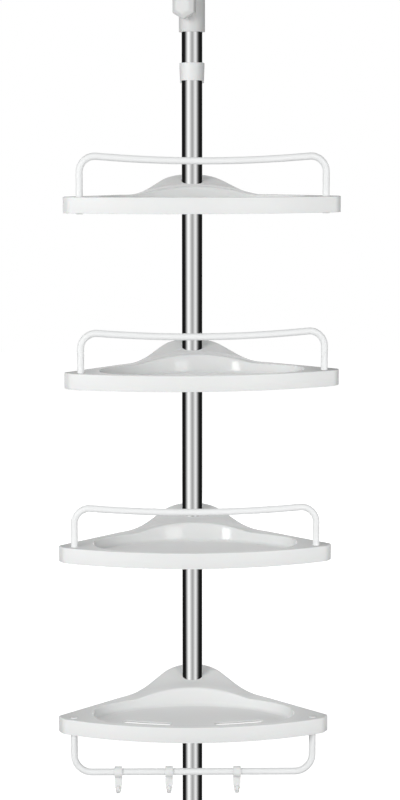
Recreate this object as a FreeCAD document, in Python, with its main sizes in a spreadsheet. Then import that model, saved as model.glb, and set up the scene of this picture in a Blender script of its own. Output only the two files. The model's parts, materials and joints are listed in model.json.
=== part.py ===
"""Corner shelf unit on a spring-loaded tension pole, as a parametric document.

Row frame, millimetres: +Z up, origin where the pole's axis meets the floor, -Y the front.
Every size is a cell of the spreadsheet "size"; the sub-parts are bound to its cells.
"""

import FreeCAD
import Part

import math
import os
import re

import Sketcher

Vector = FreeCAD.Vector
Z_AXIS = Vector(0, 0, 1)
SHEET = "size"
FULL_TURN = 360
FLAT = 1e-6

# ---------------------------------------------------------------------------------------------
# Driving dimensions: alias, value (mm or degrees), what it is
# ---------------------------------------------------------------------------------------------
POLE_SIZES = [
    ("pole_radius", 12.5, "outer pole tube, outside radius"),
    ("pole_wall", 1.0, "outer pole tube, wall"),
    ("pole_foot", 10, "height of the lowest tube end"),
    ("seam_depth", 5, "depth of the tubes' joints below the rims of the trays that hide them"),
    ("lower_seam", "=fourth_rim - seam_depth", "height of the joint between the lower and middle tubes"),
    ("upper_seam", "=second_rim - seam_depth", "height of the joint between the middle and upper tubes"),
    ("outer_top", 1220, "height of the upper tube's open end"),
    ("inner_play", 0.5, "radial gap between the outer and inner tubes"),
    ("inner_radius", "=pole_radius - pole_wall - inner_play", "telescoping inner tube, outside radius"),
    ("inner_wall", 0.8, "inner tube, wall"),
    ("inner_overlap", 240, "length of the inner tube inside the outer pole at rest"),
    ("inner_foot", "=outer_top - inner_overlap", "height of the inner tube's lower end at rest"),
    ("inner_length", 525, "inner tube, length"),
    ("running_gap", 0.05, "radial clearance of a shaft in its hole"),
    ("fit_gap", 0.05, "radial clearance of a fixed plug in its socket"),
    ("seat_gap", 0.3, "gap left at a moving stop"),
    ("connector_reach", 40, "depth of a tube connector in each tube"),
    ("connector_wall", 2, "tube connector, wall"),
    ("lead_in", 1, "lead-in chamfer of plugs"),
]
FOOT_SIZES = [
    ("pad_radius", 32, "rubber pads, outside radius"),
    ("pad_floor", 3, "rubber pads, thickness under the cap"),
    ("pad_rim", 7, "rubber pads, height of the rim round the cap"),
    ("pad_rim_wall", 3, "rubber pads, thickness of the rim"),
    ("cap_flange", 4.5, "foot and ceiling caps, flange thickness"),
    ("cap_wall", 3, "foot and ceiling caps, socket wall"),
    ("foot_socket", 42, "height of the foot cap's socket mouth"),
    ("foot_shoulder", 20, "height where the foot cap's skirt meets its socket"),
    ("plug_radius", 7, "foot cap, centring plug radius"),
    ("plug_height", 22, "foot cap, centring plug height"),
]
CLAMP_SIZES = [
    ("clamp_grip", 18, "depth of the outer pole in the clamp sleeve"),
    ("clamp_foot", "=outer_top - clamp_grip", "height of the clamp sleeve's lower edge"),
    ("clamp_length", 58, "clamp sleeve, length"),
    ("clamp_wall", 3.1, "clamp sleeve, thickness round the outer pole"),
    ("clamp_radius", "=pole_radius + clamp_wall", "clamp sleeve, outside radius"),
    ("clamp_yaw", -21, "turn of the knob's axis from the front, seen from above"),
    ("knob_height", "=clamp_foot + clamp_length / 2", "height of the knob's axis"),
    ("boss_radius", 9, "clamp boss, radius"),
    ("boss_rise", 8, "distance of the boss's face from the outer pole's surface"),
    ("boss_reach", "=pole_radius + boss_rise", "distance of the boss's face from the pole's axis"),
    ("nut_flats", 10, "M6 nut, across flats"),
    ("nut_depth", 5, "M6 nut, thickness"),
    ("nut_recess", 0.5, "depth of the nut's outer face below the boss's face"),
    ("nut_reach", "=boss_reach - nut_recess", "distance of the nut's outer face from the pole's axis"),
    ("stud_radius", 3, "clamp stud, radius"),
    ("shoe_radius", 3.6, "clamp shoe, radius"),
    ("shoe_length", 2.6, "clamp shoe, length along the stud"),
    ("knob_flats", 27.5, "knob, across flats"),
    ("knob_side", 7.5, "knob, depth of the prism"),
    ("knob_crown", 3.6, "knob, depth of the bevelled crown"),
    ("knob_crown_flats", 17, "knob, across flats at the top of the crown"),
    ("knob_gap", 1, "gap between the boss and the knob"),
]
TOP_SIZES = [
    ("guide_length", 22, "guide bush, depth in the inner tube"),
    ("guide_flange", 8, "guide bush, length of the flange that runs in the outer tube"),
    ("plug_bore", 6, "bore through the guide bush and the spring seat"),
    ("spring_length", 120, "distance between the spring seat and the plunger rod at rest"),
    ("spring_foot", "=rod_foot - spring_length", "height of the spring's lower end"),
    ("spring_seat_length", 15, "spring seat, length"),
    ("spring_play", 1.2, "radial gap between the spring and the inner tube"),
    ("spring_radius", "=inner_radius - inner_wall - spring_play",
     "tension spring, outside radius of the coil"),
    ("spring_wire", 2.2, "tension spring, wire thickness"),
    ("spring_end_gap", 0.1, "gap between the spring and what it bears on"),
    ("rod_play", 0.7, "radial gap between the plunger rod and the inner tube"),
    ("rod_radius", "=inner_radius - inner_wall - rod_play", "plunger rod, outside radius"),
    ("rod_wall", 1, "plunger rod, wall"),
    ("rod_rest", 0.4, "gap between the plunger rod's collar and its bush at rest"),
    ("rod_foot", "=inner_foot + inner_length - bush_depth - rod_collar - rod_rest",
     "height of the plunger rod's lower end at rest"),
    ("rod_reach", 73, "plunger rod, length outside the inner tube at rest"),
    ("rod_head", "=inner_foot + inner_length + rod_reach", "height of the plunger rod's upper end at rest"),
    ("rod_collar", 4.6, "plunger rod, length of the retaining collar"),
    ("bush_depth", 30, "plunger bush, depth in the inner tube"),
    ("bush_flange", 4, "plunger bush, flange thickness"),
    ("bush_flange_rise", 1.5, "plunger bush, flange beyond the inner tube's surface"),
    ("bush_flange_radius", "=inner_radius + bush_flange_rise", "plunger bush, flange radius"),
    ("cap_socket", 26, "ceiling cap, depth of the socket round the rod"),
    ("cap_skirt", 10, "ceiling cap, depth of the flared skirt"),
]
SLEEVE_SIZES = [
    ("sleeve_drop", 5, "wedge sleeve, length below the tray's band"),
    ("sleeve_foot", "=-band - sleeve_drop", "wedge sleeve, lower edge below the rim plane"),
    ("sleeve_head", 4, "wedge sleeve, upper edge above the rim plane"),
    ("sleeve_foot_wall", 3.9, "wedge sleeve, thickness at the lower edge"),
    ("sleeve_foot_radius", "=pole_radius + sleeve_foot_wall", "wedge sleeve, radius at the lower edge"),
    ("sleeve_head_wall", 1.9, "wedge sleeve, thickness at the upper edge"),
    ("sleeve_head_radius", "=pole_radius + sleeve_head_wall", "wedge sleeve, radius at the upper edge"),
    ("sleeve_lip", 3, "wedge sleeve, height of the cylindrical lip under the cone"),
    ("sleeve_slit", 1, "gap between the two halves of a sleeve"),
    ("stop_gap", 57, "distance of the stop sleeve's lower edge below the clamp sleeve"),
    ("stop_foot", "=clamp_foot - stop_gap", "height of the stop sleeve's lower edge"),
    ("stop_length", 21, "stop sleeve, length"),
    ("stop_foot_wall", 1.8, "stop sleeve, thickness at the lower edge"),
    ("stop_foot_radius", "=pole_radius + stop_foot_wall", "stop sleeve, radius at the lower edge"),
    ("stop_head_wall", 2.6, "stop sleeve, thickness at the upper edge"),
    ("stop_head_radius", "=pole_radius + stop_head_wall", "stop sleeve, radius at the upper edge"),
    ("stop_step", 3, "how much lower the rear half of the stop sleeve sits"),
]
TRAY_SIZES = [
    ("half_width", 160, "tray, half of the overall width"),
    ("front_bow", 38.1, "tray, rise of the front edge's bow over the overall width"),
    ("end_cut", 11, "tray, distance along the sides between the rear and front edges"),
    ("front_reach", "=half_width - apex_reach + end_cut + front_bow",
     "tray, front edge from the pole's axis"),
    ("front_radius", "=(half_width^2 + front_bow^2) / (2 * front_bow)", "tray, radius of the front edge"),
    ("corner_radius", 12, "tray, radius where the front edge meets the end face"),
    ("end_angle", 62, "tray, angle of the end face from the row's X axis"),
    ("end_radius", 5, "tray, radius where the end face meets the rear edge"),
    ("hub_merge", 0.8, "tray, how far the hub runs into the rear wall"),
    ("rear_reach", "=hub_radius + wall - hub_merge", "tray, rearmost point from the pole's axis"),
    ("apex_reach", "=rear_reach + (sqrt(2) - 1) * rear_radius",
     "tray, sharp rear corner from the pole's axis"),
    ("rear_radius", 51, "tray, radius of the rear corner"),
    ("band", 18.5, "tray, height of the edge band"),
    ("wall", 2.5, "tray, wall"),
    ("rim_round", 1.2, "tray, rounding of the rim's outer edge"),
    ("flange", 10, "tray, width of the rim at the front"),
    ("pocket_rear", 38, "tray, pocket's rear wall in front of the pole's axis"),
    ("pocket_margin", 40, "tray, distance between the pocket's ends and the tray's ends"),
    ("pocket_end_across", "=half_width - pocket_margin - pocket_end_radius",
     "tray, centre of the pocket's end from the centre line"),
    ("pocket_end_ahead",
     "=front_reach - front_radius"
     " + sqrt((front_radius - flange - pocket_end_radius)^2 - pocket_end_across^2)",
     "tray, centre of the pocket's end in front of the pole's axis"),
    ("pocket_end_depth", "=pocket_end_ahead - pocket_rear",
     "tray, centre of the pocket's end in front of the pocket's rear wall"),
    ("pocket_rear_radius",
     "=(pocket_end_across^2 + pocket_end_depth^2 - pocket_end_radius^2)"
     " / (2 * (pocket_end_depth - pocket_end_radius))",
     "tray, radius of the pocket's rear wall"),
    ("pocket_end_radius", 38, "tray, radius of the pocket's ends"),
    ("floor_lift", 3, "tray, how far the pocket's underside is above the band's lower edge"),
    ("pocket_depth", "=band - wall - floor_lift", "tray, depth of the pocket"),
    ("pocket_round", 4, "tray, rounding between the pocket's wall and floor"),
    ("hump_round", 3, "tray, rounding of the hump's rear edge"),
    ("hump_margin", 6, "tray, how far the hump's sections run past their half-widths"),
    ("hub_wall", 4.9, "tray, thickness of the hub round the wedge sleeve's lower edge"),
    ("hub_radius", "=sleeve_foot_radius + hub_wall", "tray, hub radius"),
    ("hub_lip_gap", 0.5, "radial gap between the hub's lip and the pole"),
    ("cone_gap", 0.08, "radial clearance of the wedge sleeve in the hub"),
    ("rib", 2, "tray, thickness of the ribs under the hump"),
    ("rib_lift", 4, "tray, how far the ribs' lower edge is above the band's"),
    ("slot_width", 8, "drain slots, width"),
    ("slot_inset", 55, "drain slots, first row's distance from the front edge"),
    ("slot_pitch", 20, "drain slots, distance between rows"),
    ("slot_inner", 30, "drain slots, start from the middle"),
    ("slot_outer", "=half_width / 2", "drain slots, end from the middle"),
]
# The hump behind the pocket, as sections across the tray: each has its distance behind the
# pole's axis, its height over the rim on the centre line, and its height at a half-width.
HUMP_SECTIONS = [
    ("brow", "-62", 2.0, 72, -2.5),
    ("wall_top", "=-pocket_rear", 9.0, 76, -0.3),
    ("slope", "-20", 10.6, 64, 2.6),
    ("saddle", "-5", 13.4, 49, 10.4),
    ("rise", "12", 20.6, 31, 19),
    ("ridge", "=rear_reach + hump_margin", 23.8, 16, 22.8),
]
RAIL_SIZES = [
    ("rod_thickness_radius", 4, "rails and towel bar, rod radius"),
    ("socket_inset", 18.5, "rail sockets, from the tray's ends"),
    ("socket_across", "=half_width - socket_inset", "rail sockets, from the centre line"),
    ("socket_setback", 40, "rail sockets, behind the front edge"),
    ("socket_ahead", "=front_reach - socket_setback", "rail sockets, in front of the pole's axis"),
    ("socket_wall", 3.2, "rail sockets, boss thickness"),
    ("socket_boss_radius", "=rod_thickness_radius + socket_wall", "rail sockets, boss radius"),
    ("socket_spare", 1.3, "rail sockets, gap between the screw's head and the cap's plug"),
    ("socket_depth", "=band - socket_web - screw_head - socket_cap_plug - socket_spare",
     "rail sockets, depth from the rim plane to the web"),
    ("socket_web", 2.5, "rail sockets, web thickness"),
    ("rail_height", 45.6, "rails, centre of the rod's ends above the rim plane"),
    ("rail_sag", 5.4, "rails, dip of the middle of the rod"),
    ("rail_bend", 14, "rails, bend radius"),
    ("bar_drop", 67, "towel bar, centre of the rod below the rim plane"),
    ("bar_bend", 18, "towel bar, bend radius"),
    ("screw_radius", 1.9, "rail screws, shank radius"),
    ("screw_head_radius", 3.3, "rail screws, head radius"),
    ("screw_head", 2.2, "rail screws, head height"),
    ("screw_bite", 9, "rail screws, length in the rod"),
    ("socket_cap_brim", 0.8, "socket caps, brim beyond the rod"),
    ("socket_cap_radius", "=rod_thickness_radius + socket_cap_brim", "socket caps, head radius"),
    ("socket_cap_head", 1, "socket caps, head height"),
    ("socket_cap_plug", 3, "socket caps, plug length"),
]
HOOK_SIZES = [
    ("hook_width", 8.8, "hooks, width along the bar"),
    ("hook_strap", 2.4, "hooks, strap thickness"),
    ("hook_clearance", 0.08, "hooks, radial clearance on the bar"),
    ("hook_drop", 25.5, "hooks, lowest point below the bar's centre"),
    ("hook_curl", 7, "hooks, radius of the curl's centre line"),
    ("hook_tip", 3, "hooks, height of the tip above the curl's centre"),
    ("hook_point", 2.4, "hooks, width at the tip"),
]
HOOKS = [("left_hook", -89.5), ("middle_hook", -29), ("right_hook", 52)]
# The shelves from the top down: name, rim height, turn about the pole.
SHELVES = [
    ("first", 1011, 6.3),
    ("second", 810, 6.2),
    ("third", 604, 2),
    ("fourth", 396, 0.8),
]

document = FreeCAD.newDocument("tension_pole_shelf_unit")
sheet = document.addObject("Spreadsheet::Sheet", SHEET)
aliases = set()
subparts = []


# ---------------------------------------------------------------------------------------------
# The sheet and expressions
# ---------------------------------------------------------------------------------------------
def sheet_rows():
    """All driving dimensions, then those of the hump's sections, hooks and shelves."""
    for group in (POLE_SIZES, FOOT_SIZES, CLAMP_SIZES, TOP_SIZES, SLEEVE_SIZES, TRAY_SIZES,
                  RAIL_SIZES, HOOK_SIZES):
        yield from group
    for name, behind, middle, across, side in HUMP_SECTIONS:
        yield f"hump_{name}_behind", behind, f"hump's {name}, behind the pole's axis"
        yield f"hump_{name}_middle", middle, f"hump's {name}, height on the centre line"
        yield f"hump_{name}_across", across, f"hump's {name}, half-width"
        yield f"hump_{name}_side", side, f"hump's {name}, height at the half-width"
    for name, across in HOOKS:
        yield f"{name}_across", across, f"{name}, along the towel bar"
    for name, height, yaw in SHELVES:
        yield f"{name}_rim", height, f"{name} shelf, height of the rim plane"
        yield f"{name}_yaw", yaw, f"{name} shelf, turn about the pole"


def fill_sheet():
    """Names the sheet's cells, then writes their values and formulas."""
    rows = list(sheet_rows())
    for row, (alias, _, meaning) in enumerate(rows, 1):
        sheet.set(f"A{row}", alias)
        sheet.set(f"C{row}", meaning)
        sheet.setAlias(f"B{row}", alias)
        aliases.add(alias)
    for row, (_, text, _) in enumerate(rows, 1):
        sheet.set(f"B{row}", str(text))
    document.recompute()


def bound(text):
    """The expression with each alias written as a cell of the sheet."""
    return re.sub(r"[a-z][a-z0-9_]*", lambda m: f"{SHEET}.{m[0]}" if m[0] in aliases else m[0], text)


def value(text):
    """The number that an expression in aliases has now."""
    result = sheet.evalExpression(bound(str(text)))
    return float(getattr(result, "Value", result))


def bind(item, **properties):
    """Sets properties of an object by expressions; a double underscore stands for a dot."""
    for name, text in properties.items():
        path = name.replace("__", ".")
        item.setExpression(path, bound(text))
    return item


def place(item, height="0", yaw="0", across="0", behind="0"):
    """Puts an object at a height on the pole's axis, turned about it."""
    turn = FreeCAD.Rotation(Z_AXIS, value(yaw))
    item.Placement = FreeCAD.Placement(Vector(value(across), value(behind), value(height)), turn)
    for path, text in (("Base.z", height), ("Base.x", across), ("Base.y", behind)):
        if text != "0":
            item.setExpression(f"Placement.{path}", bound(text))
    if yaw != "0":
        item.setExpression("Placement.Rotation.Angle", bound(yaw) + " * 1 deg")
    return item


# ---------------------------------------------------------------------------------------------
# Sketches and bodies
# ---------------------------------------------------------------------------------------------
def new_body(label, node=True):
    """A PartDesign body; a node's body is one of the sub-parts that are written out."""
    body = document.addObject("PartDesign::Body", label)
    body.Label = label
    if node:
        subparts.append(body)
    return body


def new_sketch(body, name, role="XY_Plane", offset="0"):
    """A sketch on one of the body's origin planes, moved along the plane's normal."""
    sketch = body.newObject("Sketcher::SketchObject", name)
    support = next(plane for plane in body.Origin.OriginFeatures if plane.Role == role)
    sketch.AttachmentSupport = [(support, "")]
    sketch.MapMode = "FlatFace"
    if offset != "0":
        sketch.AttachmentOffset = FreeCAD.Placement(Vector(0, 0, value(offset)), FreeCAD.Rotation())
        sketch.setExpression("AttachmentOffset.Base.z", bound(offset))
    return sketch


def hold(sketch, kind, geometry, position, text):
    """Holds one coordinate of a sketch's point at an expression from the sketch's origin."""
    if text == "0":
        axis = -2 if kind == "DistanceX" else -1
        sketch.addConstraint(Sketcher.Constraint("PointOnObject", geometry, position, axis))
        return
    index = sketch.addConstraint(Sketcher.Constraint(kind, -1, 1, geometry, position, value(text)))
    sketch.setExpression(f"Constraints[{index}]", bound(text))


def pin_point(sketch, geometry, position, across, up):
    """Holds one point of a sketch at two expressions from the sketch's origin."""
    hold(sketch, "DistanceX", geometry, position, across)
    hold(sketch, "DistanceY", geometry, position, up)


def join(sketch, kind, pairs):
    """Joins pairs of a sketch's end points, each given as (geometry, position)."""
    for first, second in pairs:
        sketch.addConstraint(Sketcher.Constraint(kind, *first, *second))


def segment(sketch, start, end):
    """A straight line of a sketch between two points; returns its index."""
    return sketch.addGeometry(Part.LineSegment(start, end), False)


def polygon(sketch, points):
    """A closed outline of straight lines through points given as pairs of expressions."""
    corners = [Vector(value(across), value(up), 0) for across, up in points]
    first = sketch.GeometryCount
    for start, end in zip(corners, corners[1:] + corners[:1]):
        segment(sketch, start, end)
    count = len(corners)
    join(sketch, "Coincident", [((first + index, 2), (first + (index + 1) % count, 1))
                                for index in range(count)])
    for index, (across, up) in enumerate(points):
        pin_point(sketch, first + index, 1, across, up)
    return sketch


def circle(sketch, radius, across="0", up="0"):
    """A circle of a sketch, its centre and radius bound to expressions."""
    centre = Vector(value(across), value(up), 0)
    index = sketch.addGeometry(Part.Circle(centre, Z_AXIS, value(radius)), False)
    size = sketch.addConstraint(Sketcher.Constraint("Radius", index, value(radius)))
    sketch.setExpression(f"Constraints[{size}]", bound(radius))
    pin_point(sketch, index, 3, across, up)
    return sketch


def revolve(body, name, points, feature="Revolution"):
    """Turns an outline of (radius, height) points about the body's Z axis."""
    sketch = polygon(new_sketch(body, f"{name}_outline", "XZ_Plane"), points)
    turned = body.newObject(f"PartDesign::{feature}", name)
    turned.Profile = sketch
    turned.ReferenceAxis = (sketch, ["V_Axis"])
    turned.Angle = FULL_TURN
    return turned


def pad(body, name, sketch, length, reverse=False, midplane=False):
    """Extrudes a sketch into material."""
    feature = body.newObject("PartDesign::Pad", name)
    feature.Profile = sketch
    feature.Reversed = reverse
    feature.Midplane = midplane
    bind(feature, Length=length)
    return feature


def pocket(body, name, sketch, length, reverse=False, midplane=False):
    """Cuts a sketch's outline out of the body, against the sketch's normal unless reversed."""
    feature = body.newObject("PartDesign::Pocket", name)
    feature.Profile = sketch
    feature.Reversed = reverse
    feature.Midplane = midplane
    bind(feature, Length=length)
    return feature


def turned_part(label, points, height="0"):
    """A sub-part that is one turned outline, standing at a height on the pole's axis."""
    body = new_body(label)
    revolve(body, f"{label}_turning", points)
    return place(body, height)


def tube(label, outer, wall, foot, length):
    """A plain tube sub-part on the pole's axis."""
    inner = f"({outer} - {wall})"
    points = [(inner, "0"), (outer, "0"), (outer, length), (inner, length)]
    return turned_part(label, points, foot)


def clone(label, form, **placing):
    """A sub-part with the shape of a form that several sub-parts share."""
    body = new_body(label)
    copy = document.addObject("PartDesign::FeatureBase", f"{label}_clone")
    copy.BaseFeature = form
    body.Group = [copy]
    body.Tip = copy
    return place(body, **placing)


# ---------------------------------------------------------------------------------------------
# The pole
# ---------------------------------------------------------------------------------------------
def make_pole():
    """Three outer tubes end to end, the connectors inside their seams, and the inner tube."""
    tube("lower_pole_section", "pole_radius", "pole_wall", "pole_foot", "lower_seam - pole_foot")
    tube("middle_pole_section", "pole_radius", "pole_wall", "lower_seam", "upper_seam - lower_seam")
    tube("upper_pole_section", "pole_radius", "pole_wall", "upper_seam", "outer_top - upper_seam")
    tube("inner_pole", "inner_radius", "inner_wall", "inner_foot", "inner_length")
    outer = "(pole_radius - pole_wall - fit_gap)"
    nose = f"({outer} - lead_in)"
    bore = f"({outer} - connector_wall)"
    outline = [
        (bore, "-connector_reach"), (nose, "-connector_reach"),
        (outer, "lead_in - connector_reach"), (outer, "connector_reach - lead_in"),
        (nose, "connector_reach"), (bore, "connector_reach"),
    ]
    turned_part("lower_pole_connector", outline, "lower_seam")
    turned_part("upper_pole_connector", outline, "upper_seam")


def pad_outline(sign):
    """A rubber cup round a cap's flange, opening up (sign 1) or down (sign -1)."""
    inner = "(pad_radius - pad_rim_wall)"
    floor, rim = f"{sign} * pad_floor", f"{sign} * pad_rim"
    return [("0", "0"), ("pad_radius - lead_in", "0"), ("pad_radius", f"{sign} * lead_in"),
            ("pad_radius", rim), (inner, rim), (inner, floor), ("0", floor)]


def make_foot():
    """The foot cap that holds the lowest tube, and the rubber pad under it."""
    turned_part("foot_pad", pad_outline(1))
    flange = "(pad_radius - pad_rim_wall)"
    socket = "(pole_radius + fit_gap)"
    outside = f"({socket} + cap_wall)"
    turned_part("foot_cap", [
        ("0", "pad_floor"), (flange, "pad_floor"), (flange, "pad_floor + cap_flange"),
        (f"{outside} + cap_wall", "foot_shoulder"), (outside, "foot_shoulder + cap_wall"),
        (outside, "foot_socket - lead_in"), (f"{outside} - lead_in", "foot_socket"),
        (socket, "foot_socket"), (socket, "pole_foot"), ("plug_radius", "pole_foot"),
        ("plug_radius", "pole_foot + plug_height - lead_in"),
        ("plug_radius - lead_in", "pole_foot + plug_height"), ("0", "pole_foot + plug_height"),
    ])


def make_inner_fittings():
    """What the inner tube holds: guide bush, spring seat, spring and the plunger's bush."""
    bore = "(inner_radius - inner_wall)"
    plug = f"({bore} - fit_gap)"
    turned_part("inner_pole_guide_bush", [
        ("plug_bore", "-guide_flange"),
        ("pole_radius - pole_wall - running_gap - lead_in", "-guide_flange"),
        ("pole_radius - pole_wall - running_gap", "lead_in - guide_flange"),
        ("pole_radius - pole_wall - running_gap", "0"), (plug, "0"),
        (plug, "guide_length - lead_in"), (f"{plug} - lead_in", "guide_length"),
        ("plug_bore", "guide_length"),
    ], "inner_foot")
    turned_part("spring_seat", [
        ("plug_bore", "-spring_seat_length"), (plug, "-spring_seat_length"), (plug, "0"),
        ("plug_bore", "0"),
    ], "spring_foot")
    spring_bore = "(spring_radius - spring_wire)"
    spring_head = "(rod_foot - spring_foot - spring_end_gap)"
    turned_part("tension_spring", [
        (spring_bore, "spring_end_gap"), ("spring_radius", "spring_end_gap"),
        ("spring_radius", spring_head), (spring_bore, spring_head),
    ], "spring_foot")
    turned_part("plunger_bush", [
        ("rod_radius + running_gap", "-bush_depth"), (plug, "-bush_depth"), (plug, "0"),
        ("bush_flange_radius", "0"), ("bush_flange_radius", "bush_flange - lead_in"),
        ("bush_flange_radius - lead_in", "bush_flange"),
        ("rod_radius + running_gap", "bush_flange"),
    ], "inner_foot + inner_length")


def make_plunger():
    """The sprung rod that presses the ceiling pad up, with its cap."""
    collar = "(inner_radius - inner_wall - 2 * running_gap)"
    rod_bore = "(rod_radius - rod_wall)"
    length = "(rod_head - rod_foot)"
    turned_part("plunger_rod", [
        ("plug_bore", "0"), (collar, "0"), (collar, "rod_collar"), ("rod_radius", "rod_collar"),
        ("rod_radius", length), (rod_bore, length), (rod_bore, "rod_collar"),
        ("plug_bore", "rod_collar"),
    ], "rod_foot")
    socket = "(rod_radius + fit_gap)"
    outside = f"({socket} + cap_wall)"
    flange = "(pad_radius - pad_rim_wall)"
    turned_part("ceiling_cap", [
        (socket, "-cap_socket"), (f"{outside} - lead_in", "-cap_socket"),
        (outside, "lead_in - cap_socket"), (outside, "-cap_skirt - cap_wall"),
        (f"{outside} + cap_wall", "-cap_skirt"), (flange, "0"), (flange, "cap_flange"),
        ("0", "cap_flange"), ("0", "0"), (socket, "0"),
    ], "rod_head")
    body = turned_part("ceiling_pad", pad_outline(-1), "rod_head + cap_flange + pad_floor")
    return body


# ---------------------------------------------------------------------------------------------
# The clamp: built with its knob towards -Y, then turned about the pole
# ---------------------------------------------------------------------------------------------
def make_clamp_body():
    """The sleeve that grips the outer tube and guides the inner one, with the knob's boss."""
    body = new_body("clamp_body")
    step = "(outer_top - clamp_foot)"
    lower, upper = "(pole_radius + fit_gap)", "(inner_radius + running_gap)"
    revolve(body, "clamp_sleeve", [
        (lower, "0"), ("clamp_radius - lead_in / 2", "0"), ("clamp_radius", "lead_in / 2"),
        ("clamp_radius", "clamp_length - lead_in"), ("clamp_radius - lead_in", "clamp_length"),
        (upper, "clamp_length"), (upper, step), (lower, step),
    ])
    axis_up = "(knob_height - clamp_foot)"
    start = "(pole_radius + 1)"
    face = new_sketch(body, "boss_outline", "XZ_Plane", start)
    pad(body, "boss", circle(face, "boss_radius", up=axis_up), f"boss_reach - {start}")
    document.recompute()
    through = new_sketch(body, "stud_hole_outline", "XZ_Plane", "boss_reach + 1")
    circle(through, "shoe_radius + running_gap", up=axis_up)
    pocket(body, "stud_hole", through, "boss_reach + 1 - inner_radius / 2")
    seat = new_sketch(body, "nut_seat_outline", "XZ_Plane", "boss_reach + 1")
    hexagon(seat, "nut_flats + 2 * fit_gap", axis_up)
    pocket(body, "nut_seat", seat, "boss_reach + 1 - nut_reach + nut_depth")
    return place(body, "clamp_foot", "clamp_yaw")


def hexagon(sketch, flats, up="0"):
    """A regular hexagon with two corners on the vertical through its centre."""
    half = f"(({flats}) / 2)"
    corner, side = f"({half} / cos(30 deg))", f"({half} * tan(30 deg))"
    points = [("0", f"{up} + {corner}"), (half, f"{up} + {side}"), (half, f"{up} - {side}"),
              ("0", f"{up} - {corner}"), (f"-{half}", f"{up} - {side}"), (f"-{half}", f"{up} + {side}")]
    return polygon(sketch, points)


def make_clamp_hardware():
    """Nut and shoe in the boss, stud and knob outside it."""
    nut = new_body("clamp_nut")
    outline = hexagon(new_sketch(nut, "nut_outline", "XZ_Plane", "nut_reach - nut_depth"), "nut_flats")
    circle(outline, "stud_radius + running_gap")
    pad(nut, "nut_block", outline, "nut_depth")
    place(nut, "knob_height", "clamp_yaw")

    shoe = new_body("clamp_shoe")
    tip = "(inner_radius + running_gap)"
    outline = new_sketch(shoe, "shoe_outline", "XZ_Plane", "inner_radius - 1")
    pad(shoe, "shoe_block", circle(outline, "shoe_radius"), "shoe_length + 1")
    document.recompute()
    hollow = new_sketch(shoe, "shoe_hollow_outline", "XY_Plane", "-2 * shoe_radius")
    pocket(shoe, "shoe_hollow", circle(hollow, tip), "4 * shoe_radius", reverse=True)
    place(shoe, "knob_height", "clamp_yaw")

    stud = new_body("clamp_stud")
    start = "(inner_radius + shoe_length + seat_gap)"
    end = "(boss_reach + knob_gap + knob_side)"
    outline = new_sketch(stud, "stud_outline", "XZ_Plane", start)
    pad(stud, "stud_shank", circle(outline, "stud_radius"), f"{end} - {start}")
    place(stud, "knob_height", "clamp_yaw")

    knob = new_body("clamp_knob")
    back = "(boss_reach + knob_gap)"
    outline = hexagon(new_sketch(knob, "knob_outline", "XZ_Plane", back), "knob_flats")
    pad(knob, "knob_prism", outline, "knob_side")
    document.recompute()
    base = hexagon(new_sketch(knob, "crown_base", "XZ_Plane", f"{back} + knob_side"), "knob_flats")
    top = hexagon(new_sketch(knob, "crown_top", "XZ_Plane", f"{back} + knob_side + knob_crown"),
                  "knob_crown_flats")
    crown = knob.newObject("PartDesign::AdditiveLoft", "knob_crown")
    crown.Profile = base
    crown.Sections = [top]
    crown.Ruled = True
    document.recompute()
    hole = new_sketch(knob, "knob_hole_outline", "XZ_Plane", back)
    pocket(knob, "knob_hole", circle(hole, "stud_radius + fit_gap"), "knob_side + fit_gap", reverse=True)
    place(knob, "knob_height", "clamp_yaw")


# ---------------------------------------------------------------------------------------------
# Split sleeves
# ---------------------------------------------------------------------------------------------
def sleeve_half(label, outline, front, node):
    """One half of a turned sleeve, cut along the XZ plane with half of the slit on each side."""
    body = new_body(label, node)
    revolve(body, f"{label}_turning", outline)
    document.recompute()
    side = "-1" if front else "1"
    far = "(2 * sleeve_foot_radius)"
    keep = new_sketch(body, f"{label}_slit_outline", "XY_Plane", f"-{far}")
    polygon(keep, [(f"-{far}", f"{side} * sleeve_slit / 2"), (far, f"{side} * sleeve_slit / 2"),
                   (far, f"-{side} * {far}"), (f"-{far}", f"-{side} * {far}")])
    pocket(body, f"{label}_slit", keep, f"2 * {far}", reverse=True)
    return body


def make_sleeves():
    """The wedge sleeves that carry the shelves, and the stop sleeve above them."""
    bore = "(pole_radius + running_gap)"
    cone = [
        (bore, "sleeve_foot"), ("sleeve_foot_radius", "sleeve_foot"),
        ("sleeve_foot_radius", "sleeve_foot + sleeve_lip"), ("sleeve_head_radius", "sleeve_head"),
        (bore, "sleeve_head"),
    ]
    for front, side in ((True, "front"), (False, "rear")):
        form = sleeve_half(f"wedge_half_form_{side}", cone, front, node=False)
        for name, _, _ in SHELVES:
            clone(f"{name}_sleeve_{side}_half", form, height=f"{name}_rim", yaw=f"{name}_yaw")
    collar = [
        (bore, "0"), ("stop_foot_radius", "0"), ("stop_head_radius", "stop_length - lead_in"),
        ("stop_head_radius - lead_in", "stop_length"), (bore, "stop_length"),
    ]
    place(sleeve_half("stop_sleeve_front_half", collar, True, node=True), "stop_foot")
    place(sleeve_half("stop_sleeve_rear_half", collar, False, node=True), "stop_foot - stop_step")


# ---------------------------------------------------------------------------------------------
# The tray: moulded shell with a pocket in front and a hump that rises behind it to the pole
# ---------------------------------------------------------------------------------------------
def flat_sketch(name, height="0"):
    """A sketch in a plane parallel to the row's XY plane."""
    sketch = document.addObject("Sketcher::SketchObject", name)
    sketch.Placement = FreeCAD.Placement(Vector(0, 0, value(height)), FreeCAD.Rotation())
    if height != "0":
        sketch.setExpression("Placement.Base.z", bound(height))
    return sketch


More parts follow.
